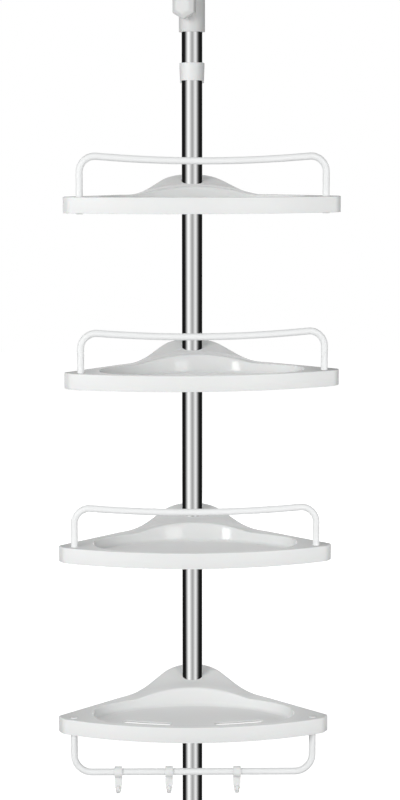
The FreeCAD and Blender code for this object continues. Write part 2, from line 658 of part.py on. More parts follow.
def arc(sketch, centre, radius, start, end):
    """An arc between two directions, in degrees, from a centre; returns its index."""
    round_line = Part.Circle(centre, Z_AXIS, radius)
    return sketch.addGeometry(
        Part.ArcOfCircle(round_line, math.radians(start), math.radians(end)), False)


def set_radius(sketch, geometry, text):
    """Binds an arc's radius to an expression."""
    index = sketch.addConstraint(Sketcher.Constraint("Radius", geometry, value(text)))
    sketch.setExpression(f"Constraints[{index}]", bound(text))


def polar(centre, radius, degrees):
    """The point of a circle in a direction."""
    turn = math.radians(degrees)
    return centre + Vector(radius * math.cos(turn), radius * math.sin(turn), 0)


def tray_outline(name, grown):
    """The tray seen from above: bowed front, cut and rounded ends, a right-angled rear corner.

    The outline is moved outward by the expression grown, or inward where it is negative.
    """
    front, corner, end, rear = (value(f"{part}_radius + {grown}")
                                for part in ("front", "corner", "end", "rear"))
    lean = value("end_angle")
    front_centre = Vector(0, value("front_radius - front_reach"), 0)
    end_centre = Vector(value("half_width - end_radius"),
                        value("apex_reach - half_width + end_radius * (1 - sqrt(2))"), 0)
    outward = Vector(math.sin(math.radians(lean)), -math.cos(math.radians(lean)), 0)
    along = Vector(math.cos(math.radians(lean)), math.sin(math.radians(lean)), 0)
    shifted = end_centre + outward * (end - corner)
    across = shifted - front_centre
    middle = across.dot(along)
    root = math.sqrt(middle ** 2 - across.dot(across) + (front - corner) ** 2)
    corner_centre = shifted + along * min(root - middle, -root - middle, key=abs)
    sight = corner_centre - front_centre
    swing = math.degrees(math.atan2(sight.y, sight.x))
    rear_centre = Vector(0, value("apex_reach - sqrt(2) * rear_radius"), 0)

    def mirrored(point):
        return Vector(-point.x, point.y, 0)

    sketch = flat_sketch(name)
    front_arc = arc(sketch, front_centre, front, -180 - swing, swing)
    right_corner = arc(sketch, corner_centre, corner, swing, lean - 90)
    face = (polar(corner_centre, corner, lean - 90), polar(end_centre, end, lean - 90))
    right_face = segment(sketch, *face)
    right_end = arc(sketch, end_centre, end, lean - 90, 45)
    edge = (polar(end_centre, end, 45), polar(rear_centre, rear, 45))
    right_edge = segment(sketch, *edge)
    rear_arc = arc(sketch, rear_centre, rear, 45, 135)
    left_edge = segment(sketch, mirrored(edge[1]), mirrored(edge[0]))
    left_end = arc(sketch, mirrored(end_centre), end, 135, 270 - lean)
    left_face = segment(sketch, mirrored(face[1]), mirrored(face[0]))
    left_corner = arc(sketch, mirrored(corner_centre), corner, 270 - lean, 180 - swing)
    order = [(front_arc, 2), (right_corner, 1), (right_corner, 2), (right_face, 1),
             (right_face, 2), (right_end, 1), (right_end, 2), (right_edge, 1), (right_edge, 2),
             (rear_arc, 1), (rear_arc, 2), (left_edge, 1), (left_edge, 2), (left_end, 1),
             (left_end, 2), (left_face, 1), (left_face, 2), (left_corner, 1), (left_corner, 2),
             (front_arc, 1)]
    join(sketch, "Tangent", zip(order[::2], order[1::2]))
    for geometry, part in ((front_arc, "front"), (right_corner, "corner"), (left_corner, "corner"),
                           (right_end, "end"), (left_end, "end"), (rear_arc, "rear")):
        set_radius(sketch, geometry, f"{part}_radius + {grown}")
    pin_point(sketch, front_arc, 3, "0", "front_radius - front_reach")
    pin_point(sketch, rear_arc, 3, "0", "apex_reach - sqrt(2) * rear_radius")
    for end_arc, side in ((right_end, "1"), (left_end, "-1")):
        pin_point(sketch, end_arc, 3, f"{side} * (half_width - end_radius)",
                  "apex_reach - half_width + end_radius * (1 - sqrt(2))")
    for geometry, text in ((right_face, "end_angle"), (left_face, "-end_angle")):
        angle = math.radians(value(text))
        index = sketch.addConstraint(Sketcher.Constraint("Angle", geometry, angle))
        sketch.setExpression(f"Constraints[{index}]", bound(text) + " * 1 deg")
    return sketch


def pocket_outline(name, grown):
    """The pocket seen from above: the front edge's bow, a wide rear arc and round ends.

    The outline is moved outward by the expression grown.
    """
    radii = [f"{text} + {grown}" for text in
             ("front_radius - flange", "pocket_rear_radius", "pocket_end_radius")]
    front, rear, end = (value(text) for text in radii)
    front_centre = Vector(0, value("front_radius - front_reach"), 0)
    rear_centre = Vector(0, value("-pocket_rear - pocket_rear_radius"), 0)
    apart = front_centre.y - rear_centre.y
    down = ((front - end) ** 2 - (rear - end) ** 2 + apart ** 2) / (2 * apart)
    end_centre = Vector(math.sqrt((front - end) ** 2 - down ** 2), front_centre.y - down, 0)
    low = math.degrees(math.atan2(end_centre.y - front_centre.y, end_centre.x))
    high = math.degrees(math.atan2(end_centre.y - rear_centre.y, end_centre.x))
    sketch = flat_sketch(name)
    front_arc = arc(sketch, front_centre, front, -180 - low, low)
    right_end = arc(sketch, end_centre, end, low, high)
    rear_arc = arc(sketch, rear_centre, rear, high, 180 - high)
    left_end = arc(sketch, Vector(-end_centre.x, end_centre.y, 0), end, 180 - high, 180 - low)
    join(sketch, "Tangent", [((front_arc, 2), (right_end, 1)), ((right_end, 2), (rear_arc, 1)),
                             ((rear_arc, 2), (left_end, 1)), ((left_end, 2), (front_arc, 1))])
    for geometry, text in zip((front_arc, rear_arc, right_end, left_end), radii + radii[2:]):
        set_radius(sketch, geometry, text)
    pin_point(sketch, front_arc, 3, "0", "front_radius - front_reach")
    pin_point(sketch, rear_arc, 3, "0", "-pocket_rear - pocket_rear_radius")
    return sketch


def extrusion(name, source, foot, height):
    """A solid from a flat outline, between two heights over the rim plane."""
    solid = document.addObject("Part::Extrusion", name)
    solid.Base = source
    solid.DirMode = "Custom"
    solid.Dir = Z_AXIS
    solid.Solid = True
    bind(solid, LengthFwd=height, LengthRev=f"-({foot})")
    return solid


def cylinder(name, radius, foot, height, across="0", behind="0"):
    """An upright cylinder primitive."""
    solid = document.addObject("Part::Cylinder", name)
    bind(solid, Radius=radius, Height=f"({height}) - ({foot})")
    return place(solid, foot, across=across, behind=behind)


def cone(name, foot_radius, head_radius, foot, height):
    """An upright cone primitive on the pole's axis."""
    solid = document.addObject("Part::Cone", name)
    bind(solid, Radius1=foot_radius, Radius2=head_radius, Height=f"({height}) - ({foot})")
    return place(solid, foot)


def boolean(kind, name, base, tool):
    """A cut or common of two solids."""
    result = document.addObject(f"Part::{kind}", name)
    result.Base = base
    result.Tool = tool
    return result


def fused(name, shapes):
    """Several solids as one."""
    result = document.addObject("Part::MultiFuse", name)
    result.Shapes = shapes
    return result


def at_height(text):
    """A test for edges that lie at one height."""
    level = value(text)
    return lambda edge: all(abs(vertex.Z - level) < FLAT for vertex in edge.Vertexes)


def at_rear_top(edge):
    """Whether an edge of the hump is one of those along the top of the tray's rear sides."""
    return edge.BoundBox.ZMin > -value("wall") and edge.BoundBox.YMax > 0


def rounded(name, solid, chosen, radius):
    """A solid whose chosen edges are rounded; chosen tests one edge."""
    body = new_body(name, node=False)
    copy = document.addObject("PartDesign::FeatureBase", f"{name}_base")
    copy.BaseFeature = solid
    body.Group = [copy]
    body.Tip = copy
    document.recompute()
    edges = [f"Edge{index}" for index, edge in enumerate(copy.Shape.Edges, 1) if chosen(edge)]
    fillet = body.newObject("PartDesign::Fillet", f"{name}_fillet")
    fillet.Base = (copy, edges)
    bind(fillet, Radius=radius)
    return body


def hump_section(name, label, lowered):
    """One upright section under the hump's surface, as wide as the tray's middle."""
    sketch = document.addObject("Sketcher::SketchObject", label)
    upright = FreeCAD.Rotation(Vector(1, 0, 0), 90)
    sketch.Placement = FreeCAD.Placement(Vector(0, value(f"hump_{name}_behind"), 0), upright)
    sketch.setExpression("Placement.Base.y", bound(f"hump_{name}_behind"))
    middle, across, side = f"hump_{name}_middle", f"hump_{name}_across", f"hump_{name}_side"
    wide, foot = f"({across} + hump_margin)", f"-band / 2 - {lowered}"
    edge = f"({middle} + ({side} - {middle}) * ({wide} / {across})^2 - {lowered})"
    top = f"({middle} - {lowered})"
    left, right = Vector(-value(wide), value(edge), 0), Vector(value(wide), value(edge), 0)
    crown = Part.Arc(left, Vector(0, value(top), 0), right)
    sketch.addGeometry(crown, False)
    swapped = (sketch.getPoint(0, 1) - left).Length > 1e-6
    left_end, right_end = (2, 1) if swapped else (1, 2)
    foot_left, foot_right = Vector(left.x, value(foot), 0), Vector(right.x, value(foot), 0)
    for start, end in ((right, foot_right), (foot_right, foot_left), (foot_left, left)):
        segment(sketch, start, end)
    join(sketch, "Coincident", [((0, right_end), (1, 1)), ((1, 2), (2, 1)), ((2, 2), (3, 1)),
                                ((3, 2), (0, left_end))])
    pin_point(sketch, 1, 1, wide, edge)
    pin_point(sketch, 1, 2, wide, foot)
    pin_point(sketch, 2, 2, f"-{wide}", foot)
    pin_point(sketch, 3, 2, f"-{wide}", edge)
    summit = sketch.addGeometry(Part.Point(Vector(0, value(top), 0)), True)
    pin_point(sketch, summit, 1, "0", top)
    sketch.addConstraint(Sketcher.Constraint("PointOnObject", summit, 1, 0))
    return sketch


def hump_solid(name, lowered):
    """The solid under the hump's surface, lofted through its sections."""
    loft = document.addObject("Part::Loft", name)
    loft.Sections = [hump_section(part, f"{name}_{part}", lowered) for part, *_ in HUMP_SECTIONS]
    loft.Solid = True
    loft.Ruled = False
    loft.MaxDegree = 5
    return loft


def drain_slots():
    """Two rows of curved slots in the floor, on each side of the middle."""
    slots = []
    for row in range(2):
        inset = f"(slot_inset - {row} * slot_pitch)"
        radius = f"(front_radius - {inset})"
        centre = "front_radius - front_reach"
        ring = boolean("Cut", f"slot_ring_{row}",
                       cylinder(f"slot_outside_{row}", f"{radius} + slot_width / 2",
                                "-2 * band", "0", behind=centre),
                       cylinder(f"slot_inside_{row}", f"{radius} - slot_width / 2",
                                "-2 * band", "0", behind=centre))
        for side, sign in (("left", "-1"), ("right", "1")):
            window = document.addObject("Part::Box", f"slot_window_{row}_{side}")
            bind(window, Length="slot_outer - slot_inner", Width="front_reach - pocket_rear",
                 Height="2 * band")
            start = "slot_inner" if side == "right" else "-slot_outer"
            place(window, "-2 * band", across=start, behind="-front_reach")
            part = boolean("Common", f"slot_{row}_{side}", ring, window)
            slots.append(part)
            for end in ("slot_inner", "slot_outer"):
                behind = f"(front_radius - front_reach - sqrt({radius}^2 - {end}^2))"
                slots.append(cylinder(f"slot_end_{row}_{side}_{end[5:]}", "slot_width / 2",
                                      "-2 * band", "0", across=f"{sign} * {end}", behind=behind))
    return slots


def ribs():
    """Upright ribs that tie the hub to the skirt and to the pocket's wall."""
    made = []
    for name, angle in (("left", 180), ("front_left", 240), ("front_right", 300), ("right", 0),
                        ("rear", 90)):
        rib = document.addObject("Part::Box", f"rib_{name}")
        bind(rib, Length="half_width / 2", Width="rib", Height="2 * band")
        turn = FreeCAD.Rotation(Z_AXIS, angle)
        rib.Placement = FreeCAD.Placement(turn.multVec(Vector(0, -value("rib") / 2, 0)), turn)
        bind(rib, Placement__Base__x=f"rib / 2 * sin({angle} deg)",
             Placement__Base__y=f"-rib / 2 * cos({angle} deg)")
        rib.setExpression("Placement.Base.z", bound("rib_lift - band"))
        made.append(rib)
    return made


def socket_posts():
    """The bosses round the rail sockets, and the holes in them."""
    bosses, holes = [], []
    for side, sign in (("left", "-"), ("right", "")):
        spot = {"across": f"{sign}socket_across", "behind": "-socket_ahead"}
        hole = "rod_thickness_radius + fit_gap"
        bosses.append(cylinder(f"socket_boss_{side}", "socket_boss_radius", "-band", "0", **spot))
        holes.append(cylinder(f"socket_top_{side}", hole, "-socket_depth", "band", **spot))
        holes.append(cylinder(f"socket_bottom_{side}", hole, "-2 * band",
                              "-socket_depth - socket_web", **spot))
        holes.append(cylinder(f"socket_screw_hole_{side}", "screw_radius + fit_gap",
                              "-band", "0", **spot))
    return bosses, holes


def make_tray_form():
    """One tray, with the rim plane at height 0 and the pole's axis as the Z axis."""
    outline, inset = tray_outline("tray_outline", "0"), tray_outline("tray_inset", "(-wall)")
    well, well_outside = pocket_outline("pocket_outline", "0"), pocket_outline("pocket_outside", "wall")
    document.recompute()
    tall = "2 * band"
    band = rounded("tray_rim", extrusion("tray_band", outline, "-band", "0"), at_height("0"), "rim_round")
    prism = extrusion("tray_prism", outline, "-band", tall)
    hump = rounded("hump_outside", boolean("Common", "hump_block", hump_solid("hump_surface", "0"), prism),
                   at_rear_top, "hump_round")
    outside = fused("tray_outside", [band, hump])

    inner_band = extrusion("inner_band", inset, "-band - 1", "-wall")
    inner_prism = extrusion("inner_prism", inset, "-band", tall)
    inner_hump = boolean("Common", "hump_inside", hump_solid("hump_underside", "wall"), inner_prism)
    core = fused("tray_core", [inner_band, inner_hump])
    underside = "-pocket_depth - wall"
    well_block = rounded("pocket_underside", extrusion("pocket_block", well_outside, underside, tall),
                         at_height(underside), "pocket_round + wall")
    hub = cylinder("hub", "hub_radius", "-band", tall)
    bosses, socket_holes = socket_posts()
    kept = fused("tray_kept", [well_block, hub] + bosses + ribs())
    hollow = boolean("Cut", "tray_hollow", core, kept)

    well_cavity = rounded("pocket_inside", extrusion("pocket_cavity", well, "-pocket_depth", tall),
                          at_height("-pocket_depth"), "pocket_round")
    lip = cylinder("hub_lip", "pole_radius + hub_lip_gap", "-2 * band", tall)
    slope = "((sleeve_foot_radius - sleeve_head_radius) / (sleeve_head - sleeve_foot - sleeve_lip))"
    seat = cone("hub_seat", f"sleeve_foot_radius + cone_gap + {slope} * sleeve_lip",
                "sleeve_head_radius + cone_gap", "sleeve_foot", "sleeve_head")
    removed = fused("tray_removed", [hollow, well_cavity, lip, seat] + socket_holes + drain_slots())
    tray = boolean("Cut", "tray_form", outside, removed)
    document.recompute()
    return tray


# ---------------------------------------------------------------------------------------------
# Rails, towel bar and their fastenings
# ---------------------------------------------------------------------------------------------
def bent_rod(label, foot, top, bend, sag="0"):
    """A rod bent into a U through the sockets; its middle lies the sag nearer to the feet."""
    body = new_body(label, node=False)
    path = new_sketch(body, f"{label}_path", "XZ_Plane", "socket_ahead")
    half, low, high, turn = (value(text) for text in ("socket_across", foot, top, bend))
    up = 1 if high > low else -1
    knee = Vector(half - turn, high - up * turn, 0)
    lean = 2 * math.degrees(math.atan(value(sag) / knee.x))
    first, last = (1, 2) if up > 0 else (2, 1)

    def bow(centre, radius, start, end):
        return arc(path, centre, radius, *((start, end) if up > 0 else (-end, -start)))

    left_leg = segment(path, Vector(-half, low, 0), Vector(-half, knee.y, 0))
    left_bend = bow(Vector(-knee.x, knee.y, 0), turn, 90 - lean, 180)
    if sag == "0":
        middle = segment(path, Vector(-knee.x, high, 0), Vector(knee.x, high, 0))
        left, right = 1, 2
    else:
        span = f"(((socket_across - {bend})^2 + {sag}^2) / (2 * {sag}) - {bend})"
        crown = Vector(0, high - up * (value(sag) - value(span)), 0)
        middle = bow(crown, value(span), 270 - lean, 270 + lean)
        left, right = first, last
        set_radius(path, middle, span)
    right_bend = bow(knee, turn, 0, 90 + lean)
    right_leg = segment(path, Vector(half, knee.y, 0), Vector(half, low, 0))
    join(path, "Tangent", [((left_leg, 2), (left_bend, last)), ((left_bend, first), (middle, left)),
                           ((middle, right), (right_bend, last)), ((right_bend, first), (right_leg, 1))])
    pin_point(path, left_leg, 1, "-socket_across", foot)
    pin_point(path, right_leg, 2, "socket_across", foot)
    for leg, turned in ((left_leg, left_bend), (right_leg, right_bend)):
        path.addConstraint(Sketcher.Constraint("Vertical", leg))
        set_radius(path, turned, bend)
        hold(path, "DistanceY", turned, 3, f"{top} - {up} * {bend}")
    section = new_sketch(body, f"{label}_section", "XY_Plane", foot)
    circle(section, "rod_thickness_radius", "-socket_across", "-socket_ahead")
    document.recompute()
    pipe = body.newObject("PartDesign::AdditivePipe", f"{label}_rod")
    pipe.Profile = section
    pipe.Spine = path
    document.recompute()
    for side, sign in (("left", "-"), ("right", "")):
        hole = new_sketch(body, f"{label}_{side}_hole_outline", "XY_Plane", foot)
        circle(hole, "screw_radius + fit_gap", f"{sign}socket_across", "-socket_ahead")
        pocket(body, f"{label}_{side}_hole", hole, "screw_bite + lead_in", reverse=up > 0)
        document.recompute()
    return body


def make_fastenings():
    """Forms of the screws and caps of one tray, for rails above it and for the bar below it."""
    forms = {}
    shank, head = "screw_radius", "screw_head_radius"
    for kind, sign, face in (("upward", 1, "-socket_depth - socket_web"),
                             ("downward", -1, "-socket_depth")):
        tip = f"{sign} * (socket_web + screw_bite)"
        forms[kind, "screws"] = pair_at_sockets(f"screw_form_{kind}", face, [
            ("0", f"-{sign} * screw_head"), (head, f"-{sign} * screw_head"), (head, "0"),
            (shank, "0"), (shank, tip), ("0", tip),
        ])
    for kind, sign, face in (("bottom", -1, "-band"), ("top", 1, "0")):
        crown = f"{sign} * socket_cap_head"
        forms[kind, "caps"] = pair_at_sockets(f"cap_form_{kind}", face, [
            ("0", crown), ("socket_cap_radius - lead_in", crown), ("socket_cap_radius", "0"),
            ("rod_thickness_radius", "0"), ("rod_thickness_radius", f"-{sign} * socket_cap_plug"),
            ("0", f"-{sign} * socket_cap_plug"),
        ])
    return forms


def pair_at_sockets(label, face, points):
    """A compound of two turned pieces, one at each rail socket, standing on a face height."""
    single = new_body(f"{label}_single", node=False)
    revolve(single, f"{label}_turning", points)
    place(single, face)
    pieces = []
    for side, sign in (("left", "-"), ("right", "")):
        piece = document.addObject("Part::Compound", f"{label}_{side}")
        piece.Links = [single]
        pieces.append(place(piece, across=f"{sign}socket_across", behind="-socket_ahead"))
    pair = document.addObject("Part::Compound", label)
    pair.Links = pieces
    document.recompute()
    return pair


def grouped(label, form, **placing):
    """A sub-part that is a group of separate identical solids."""
    group = document.addObject("Part::Compound", label)
    group.Label = label
    group.Links = [form]
    subparts.append(group)
    return place(group, **placing)


# ---------------------------------------------------------------------------------------------
# Hooks
# ---------------------------------------------------------------------------------------------
def make_hook_form():
    """A strap hook: a ring on the bar, a shank behind it, and a curl that narrows to its tip."""
    body = new_body("hook_form", node=False)
    bore = "(rod_thickness_radius + hook_clearance)"
    ring, outside, inside = f"({bore} + hook_strap)", "(hook_curl + hook_strap / 2)", \
        "(hook_curl - hook_strap / 2)"
    centre_across, centre_up = f"({ring} - {outside})", f"({outside} - hook_drop)"
    tip = f"({centre_up} + hook_tip)"
    sketch = new_sketch(body, "hook_outline", "YZ_Plane")
    ring_radius, hole_radius = value(ring), value(bore)
    outer, inner, low, high = value(outside), value(inside), value(centre_up), value(tip)
    back, middle = ring_radius, Vector(value(centre_across), low, 0)
    crotch = Vector(hole_radius, -math.sqrt(ring_radius ** 2 - hole_radius ** 2), 0)
    crotch_angle = math.degrees(math.atan2(crotch.y, crotch.x)) + FULL_TURN
    rear = segment(sketch, Vector(back, 0, 0), Vector(back, low, 0))
    curl_outside = arc(sketch, middle, outer, 180, FULL_TURN)
    front = segment(sketch, Vector(middle.x - outer, low, 0), Vector(middle.x - outer, high, 0))
    point = segment(sketch, Vector(middle.x - outer, high, 0), Vector(middle.x - inner, high, 0))
    lip = segment(sketch, Vector(middle.x - inner, high, 0), Vector(middle.x - inner, low, 0))
    curl_inside = arc(sketch, middle, inner, 180, FULL_TURN)
    shank = segment(sketch, Vector(hole_radius, low, 0), crotch)
    ring_arc = arc(sketch, Vector(0, 0, 0), ring_radius, 0, crotch_angle)
    join(sketch, "Tangent", [((ring_arc, 1), (rear, 1)), ((rear, 2), (curl_outside, 2)),
                             ((curl_outside, 1), (front, 1)), ((lip, 2), (curl_inside, 1)),
                             ((curl_inside, 2), (shank, 1))])
    join(sketch, "Coincident", [((front, 2), (point, 1)), ((point, 2), (lip, 1)),
                                ((shank, 2), (ring_arc, 2)), ((curl_inside, 3), (curl_outside, 3))])
    sketch.addConstraint(Sketcher.Constraint("Horizontal", point))
    for upright in (front, lip, shank):
        sketch.addConstraint(Sketcher.Constraint("Vertical", upright))
    for geometry, text in ((ring_arc, ring), (curl_outside, outside), (curl_inside, inside)):
        set_radius(sketch, geometry, text)
    pin_point(sketch, ring_arc, 3, "0", "0")
    pin_point(sketch, curl_outside, 3, centre_across, centre_up)
    hold(sketch, "DistanceY", point, 1, tip)
    circle(sketch, bore)
    pad(body, "hook_strap_pad", sketch, "hook_width", midplane=True)
    document.recompute()
    below_ring = f"-({ring} + lead_in)"
    start, end = f"({ring} - hook_strap)", f"({ring} - 2 * {outside})"
    for side, sign in (("left", "-"), ("right", "")):
        taper = new_sketch(body, f"hook_{side}_taper_outline", "XY_Plane", below_ring)
        polygon(taper, [(f"{sign}hook_width / 2", start), (f"{sign}hook_point / 2", end),
                        (f"{sign}hook_point / 2", f"{end} - lead_in"),
                        (f"{sign}hook_width", f"{end} - lead_in"), (f"{sign}hook_width", start)])
        pocket(body, f"hook_{side}_taper", taper, "hook_drop")
        document.recompute()
    return body


def make_shelves():
    """The four shelves: tray, rail or towel bar, screws and caps; and the hooks on the bar."""
    tray = make_tray_form()
    seat, under_seat = "-socket_depth", "-socket_depth - socket_web"
    rail = bent_rod("rail_form", seat, "rail_height", "rail_bend", "rail_sag")
    bar = bent_rod("towel_bar_form", under_seat, "-bar_drop", "bar_bend")
    fastenings = make_fastenings()
    for name, _, _ in SHELVES:
        spot = {"height": f"{name}_rim", "yaw": f"{name}_yaw"}
        clone(f"{name}_tray", tray, **spot)
        lowest = name == "fourth"
        screws, caps = ("downward", "top") if lowest else ("upward", "bottom")
        clone("towel_bar" if lowest else f"{name}_rail", bar if lowest else rail, **spot)
        grouped(f"{name}_rail_screws", fastenings[screws, "screws"], **spot)
        grouped(f"{name}_socket_caps", fastenings[caps, "caps"], **spot)
    hook = make_hook_form()
    for name, _ in HOOKS:
        across, ahead = f"{name}_across", "socket_ahead"
        clone(name, hook, height="fourth_rim - bar_drop", yaw="fourth_yaw",
              across=f"{across} * cos(fourth_yaw * 1 deg) + {ahead} * sin(fourth_yaw * 1 deg)",
              behind=f"{across} * sin(fourth_yaw * 1 deg) - {ahead} * cos(fourth_yaw * 1 deg)")


def write_parts():
    """Checks every object of the document, then writes one STEP file for each sub-part."""
    document.recompute()
    for item in document.Objects:
        if {"Invalid", "Error"} & set(item.State):
            raise RuntimeError(f"{item.Label} did not build: {item.State}")
    os.makedirs("parts", exist_ok=True)
    for part in subparts:
        if part.Shape.isNull() or not part.Shape.isValid():
            raise RuntimeError(f"{part.Label} has no valid shape")
        part.Shape.exportStep(f"parts/{part.Label}.step")


fill_sheet()
make_pole()
make_foot()
make_inner_fittings()
make_plunger()
make_clamp_body()
make_clamp_hardware()
make_sleeves()
make_shelves()
write_parts()
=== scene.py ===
"""Looks of a corner shelf unit on a spring-loaded tension pole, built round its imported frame."""

import json
import logging
import math
from dataclasses import dataclass
from enum import Enum
from typing import Callable, Sequence

import bmesh
import bpy
import numpy as np
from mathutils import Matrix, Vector

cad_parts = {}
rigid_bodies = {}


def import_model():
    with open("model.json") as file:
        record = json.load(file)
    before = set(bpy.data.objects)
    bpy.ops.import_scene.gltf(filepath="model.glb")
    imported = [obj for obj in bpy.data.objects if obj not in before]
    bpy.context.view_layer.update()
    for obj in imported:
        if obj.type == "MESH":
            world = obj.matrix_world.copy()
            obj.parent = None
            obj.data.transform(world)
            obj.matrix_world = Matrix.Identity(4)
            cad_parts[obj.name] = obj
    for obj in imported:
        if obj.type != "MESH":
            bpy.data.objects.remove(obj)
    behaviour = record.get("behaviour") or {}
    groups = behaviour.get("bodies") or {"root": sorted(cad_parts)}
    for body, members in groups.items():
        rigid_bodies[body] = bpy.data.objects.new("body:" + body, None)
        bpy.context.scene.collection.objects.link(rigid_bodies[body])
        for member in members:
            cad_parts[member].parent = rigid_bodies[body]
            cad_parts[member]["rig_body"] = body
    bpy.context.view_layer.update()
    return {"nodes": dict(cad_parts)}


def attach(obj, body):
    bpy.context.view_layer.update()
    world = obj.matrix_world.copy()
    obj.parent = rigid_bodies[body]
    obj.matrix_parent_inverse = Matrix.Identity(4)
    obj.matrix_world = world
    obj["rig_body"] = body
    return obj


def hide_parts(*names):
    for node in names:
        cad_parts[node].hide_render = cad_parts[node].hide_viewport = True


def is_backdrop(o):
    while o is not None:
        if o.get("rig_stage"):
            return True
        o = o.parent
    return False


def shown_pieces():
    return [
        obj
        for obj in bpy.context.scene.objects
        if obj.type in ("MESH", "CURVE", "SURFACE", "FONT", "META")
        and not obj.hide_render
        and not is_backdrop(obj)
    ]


Piece = bpy.types.Object
Material = bpy.types.Material
Tree = bpy.types.NodeTree
Socket = bpy.types.NodeSocket
Shader = bpy.types.Node
Inputs = dict[str | int, object]
Point = Sequence[float]
Pair = tuple[float, float]
Outline = tuple[Pair, ...]

LOG = logging.getLogger("shelf_unit")
MM = 0.001
NEAR = 0.01 * MM
WHITE, BLACK = (1.0, 1.0, 1.0, 1.0), (0.0, 0.0, 0.0, 1.0)

# What trays, rods, caps and hooks share, in millimetres: the height of a tray's edge band, and
# the place of the rail sockets to the side of the pole's axis and ahead of it.
BAND = 18.5
SOCKET_ACROSS = 141.5
SOCKET_AHEAD = 124.975


# ---- Finishes ----
def feed(tree: Tree, shader: Shader, inputs: Inputs) -> None:
    """Sets a shader node's inputs to values, or links them to sockets.

    Args:
        tree: The node tree.
        shader: The node.
        inputs: Each input's value or socket.
    """
    for name, value in inputs.items():
        if isinstance(value, Socket):
            tree.links.new(value, shader.inputs[name])
        else:
            shader.inputs[name].default_value = value


def add_shader(tree: Tree, kind: str, inputs: Inputs, **settings: str) -> Shader:
    """Adds a shader node.

    Args:
        tree: The node tree.
        kind: The node's type.
        inputs: What it is fed.
        **settings: Its own settings.

    Returns:
        The node.
    """
    made = tree.nodes.new(f"ShaderNode{kind}")
    for name, value in settings.items():
        setattr(made, name, value)
    feed(tree, made, inputs)
    return made


def blank_material(name: str) -> tuple[Material, Tree, Shader]:
    """Makes a material with nothing but a surface shader.

    Args:
        name: The material's name.

    Returns:
        The material, its node tree and its surface shader.
    """
    made = bpy.data.materials.new(name)
    made.use_nodes = True
    return made, made.node_tree, made.node_tree.nodes["Principled BSDF"]


class Grain(Enum):
    """How a fine surface texture lies on a piece."""

    EVEN = (1.0, 1.0, 1.0)
    UPRIGHT = (1.0, 1.0, 0.012)


@dataclass(frozen=True)
class Finish:
    """A procedural finish: colour with slight variation, a varied gloss and a fine relief.

    Attributes:
        name: The material's name, which no slot has.
        colour: Base colour, linear.
        roughness: Lowest and highest roughness over the surface.
        metallic: 1 for bare metal.
        tint: Share by which the darkest spots are darker than the base colour.
        patch: Patches of varied colour and gloss per metre.
        grain: Direction of the relief.
        relief: Relief features per metre.
        depth: Strength of the relief.
        relief_height: Height of the relief in metres, at full strength.
        milky: Weight of subsurface scattering, for milky plastics.
        milky_depth: How far light gets into a milky plastic, in metres.
    """

    name: str
    colour: tuple[float, float, float]
    roughness: Pair
    metallic: float = 0.0
    tint: float = 0.03
    patch: float = 9.0
    grain: Grain = Grain.EVEN
    relief: float = 900.0
    depth: float = 0.03
    relief_height: float = 0.2 * MM
    milky: float = 0.0
    milky_depth: float = 2 * MM

    def material(self) -> Material:
        """Builds the finish once and gives the same material after that.

        Returns:
            The finish's material.
        """
        if self.name in bpy.data.materials:
            return bpy.data.materials[self.name]
        made, tree, surface = blank_material(self.name)
        place = add_shader(tree, "TexCoord", {}).outputs["Object"]
        grain = add_shader(tree, "Mapping", {"Scale": self.grain.value, "Vector": place}).outputs["Vector"]
        patches, fine = (
            add_shader(tree, "TexNoise", {"Scale": scale, "Detail": detail, "Vector": grain}).outputs["Fac"]
            for scale, detail in ((self.patch, 3.0), (self.relief, 2.0))
        )
        darkest = [channel * (1 - self.tint) for channel in self.colour]
        tone = add_shader(tree, "Mix", {6: (*self.colour, 1.0), 7: (*darkest, 1.0), "Factor": patches},
                          data_type="RGBA")
        low, high = self.roughness
        gloss = add_shader(tree, "MapRange", {"Value": patches, "To Min": low, "To Max": high})
        bump = add_shader(tree, "Bump", {"Height": fine, "Strength": self.depth,
                                         "Distance": self.relief_height})
        feed(tree, surface, {
            "Base Color": tone.outputs[2],
            "Roughness": gloss.outputs["Result"],
            "Normal": bump.outputs["Normal"],
            "Metallic": self.metallic,
            "Subsurface Weight": self.milky,
            "Subsurface Scale": self.milky_depth,
        })
        return made


CLAMP_PLASTIC = Finish("clamp_plastic", (0.74, 0.745, 0.74), (0.24, 0.3), relief=260, depth=0.02, milky=0.05)
FINISH_OF_SLOT = {
    "polished_tube": Finish("polished_steel_tube", (0.86, 0.865, 0.865), (0.09, 0.13), metallic=1.0,
                            tint=0.04, patch=60, grain=Grain.UPRIGHT, relief=1400, depth=0.004),
    "white_plastic": Finish("white_gloss_plastic", (0.87, 0.88, 0.875), (0.1, 0.14), relief=260, depth=0.02,
                            milky=0.05),
    "white_coating": Finish("white_rod_coating", (0.92, 0.93, 0.93), (0.25, 0.32), relief=700, depth=0.04),
}


def adopt(piece: Piece, node: str, slot: str, finish: Finish | None = None) -> None:
    """Dresses a finished piece, sets it on its node's body and lets it stand for the node.

    Args:
        piece: The finished piece.
        node: Name of the frame's node that it replaces.
        slot: The record's slot that it belongs to. Without a finish it takes the frame's material.
        finish: The finish, where it isn't the slot's own.
    """
    piece.name = f"{node}_piece"
    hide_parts(node)
    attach(piece, bpy.data.objects[node]["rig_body"])
    chosen = finish or FINISH_OF_SLOT.get(slot)
    piece.data.materials.clear()
    piece.data.materials.append(chosen.material() if chosen else bpy.data.materials[slot])
    LOG.info("%s is made for %s", piece.name, node)


# ---- Bench work: primitives, edit mode and modifiers ----
class Element(Enum):
    """What a pick in edit mode selects."""

    VERTEX = "VERT"
    FACE = "FACE"


class Join(Enum):
    """How a tool changes the piece that it meets."""

    UNION = "UNION"
    CUT = "DIFFERENCE"


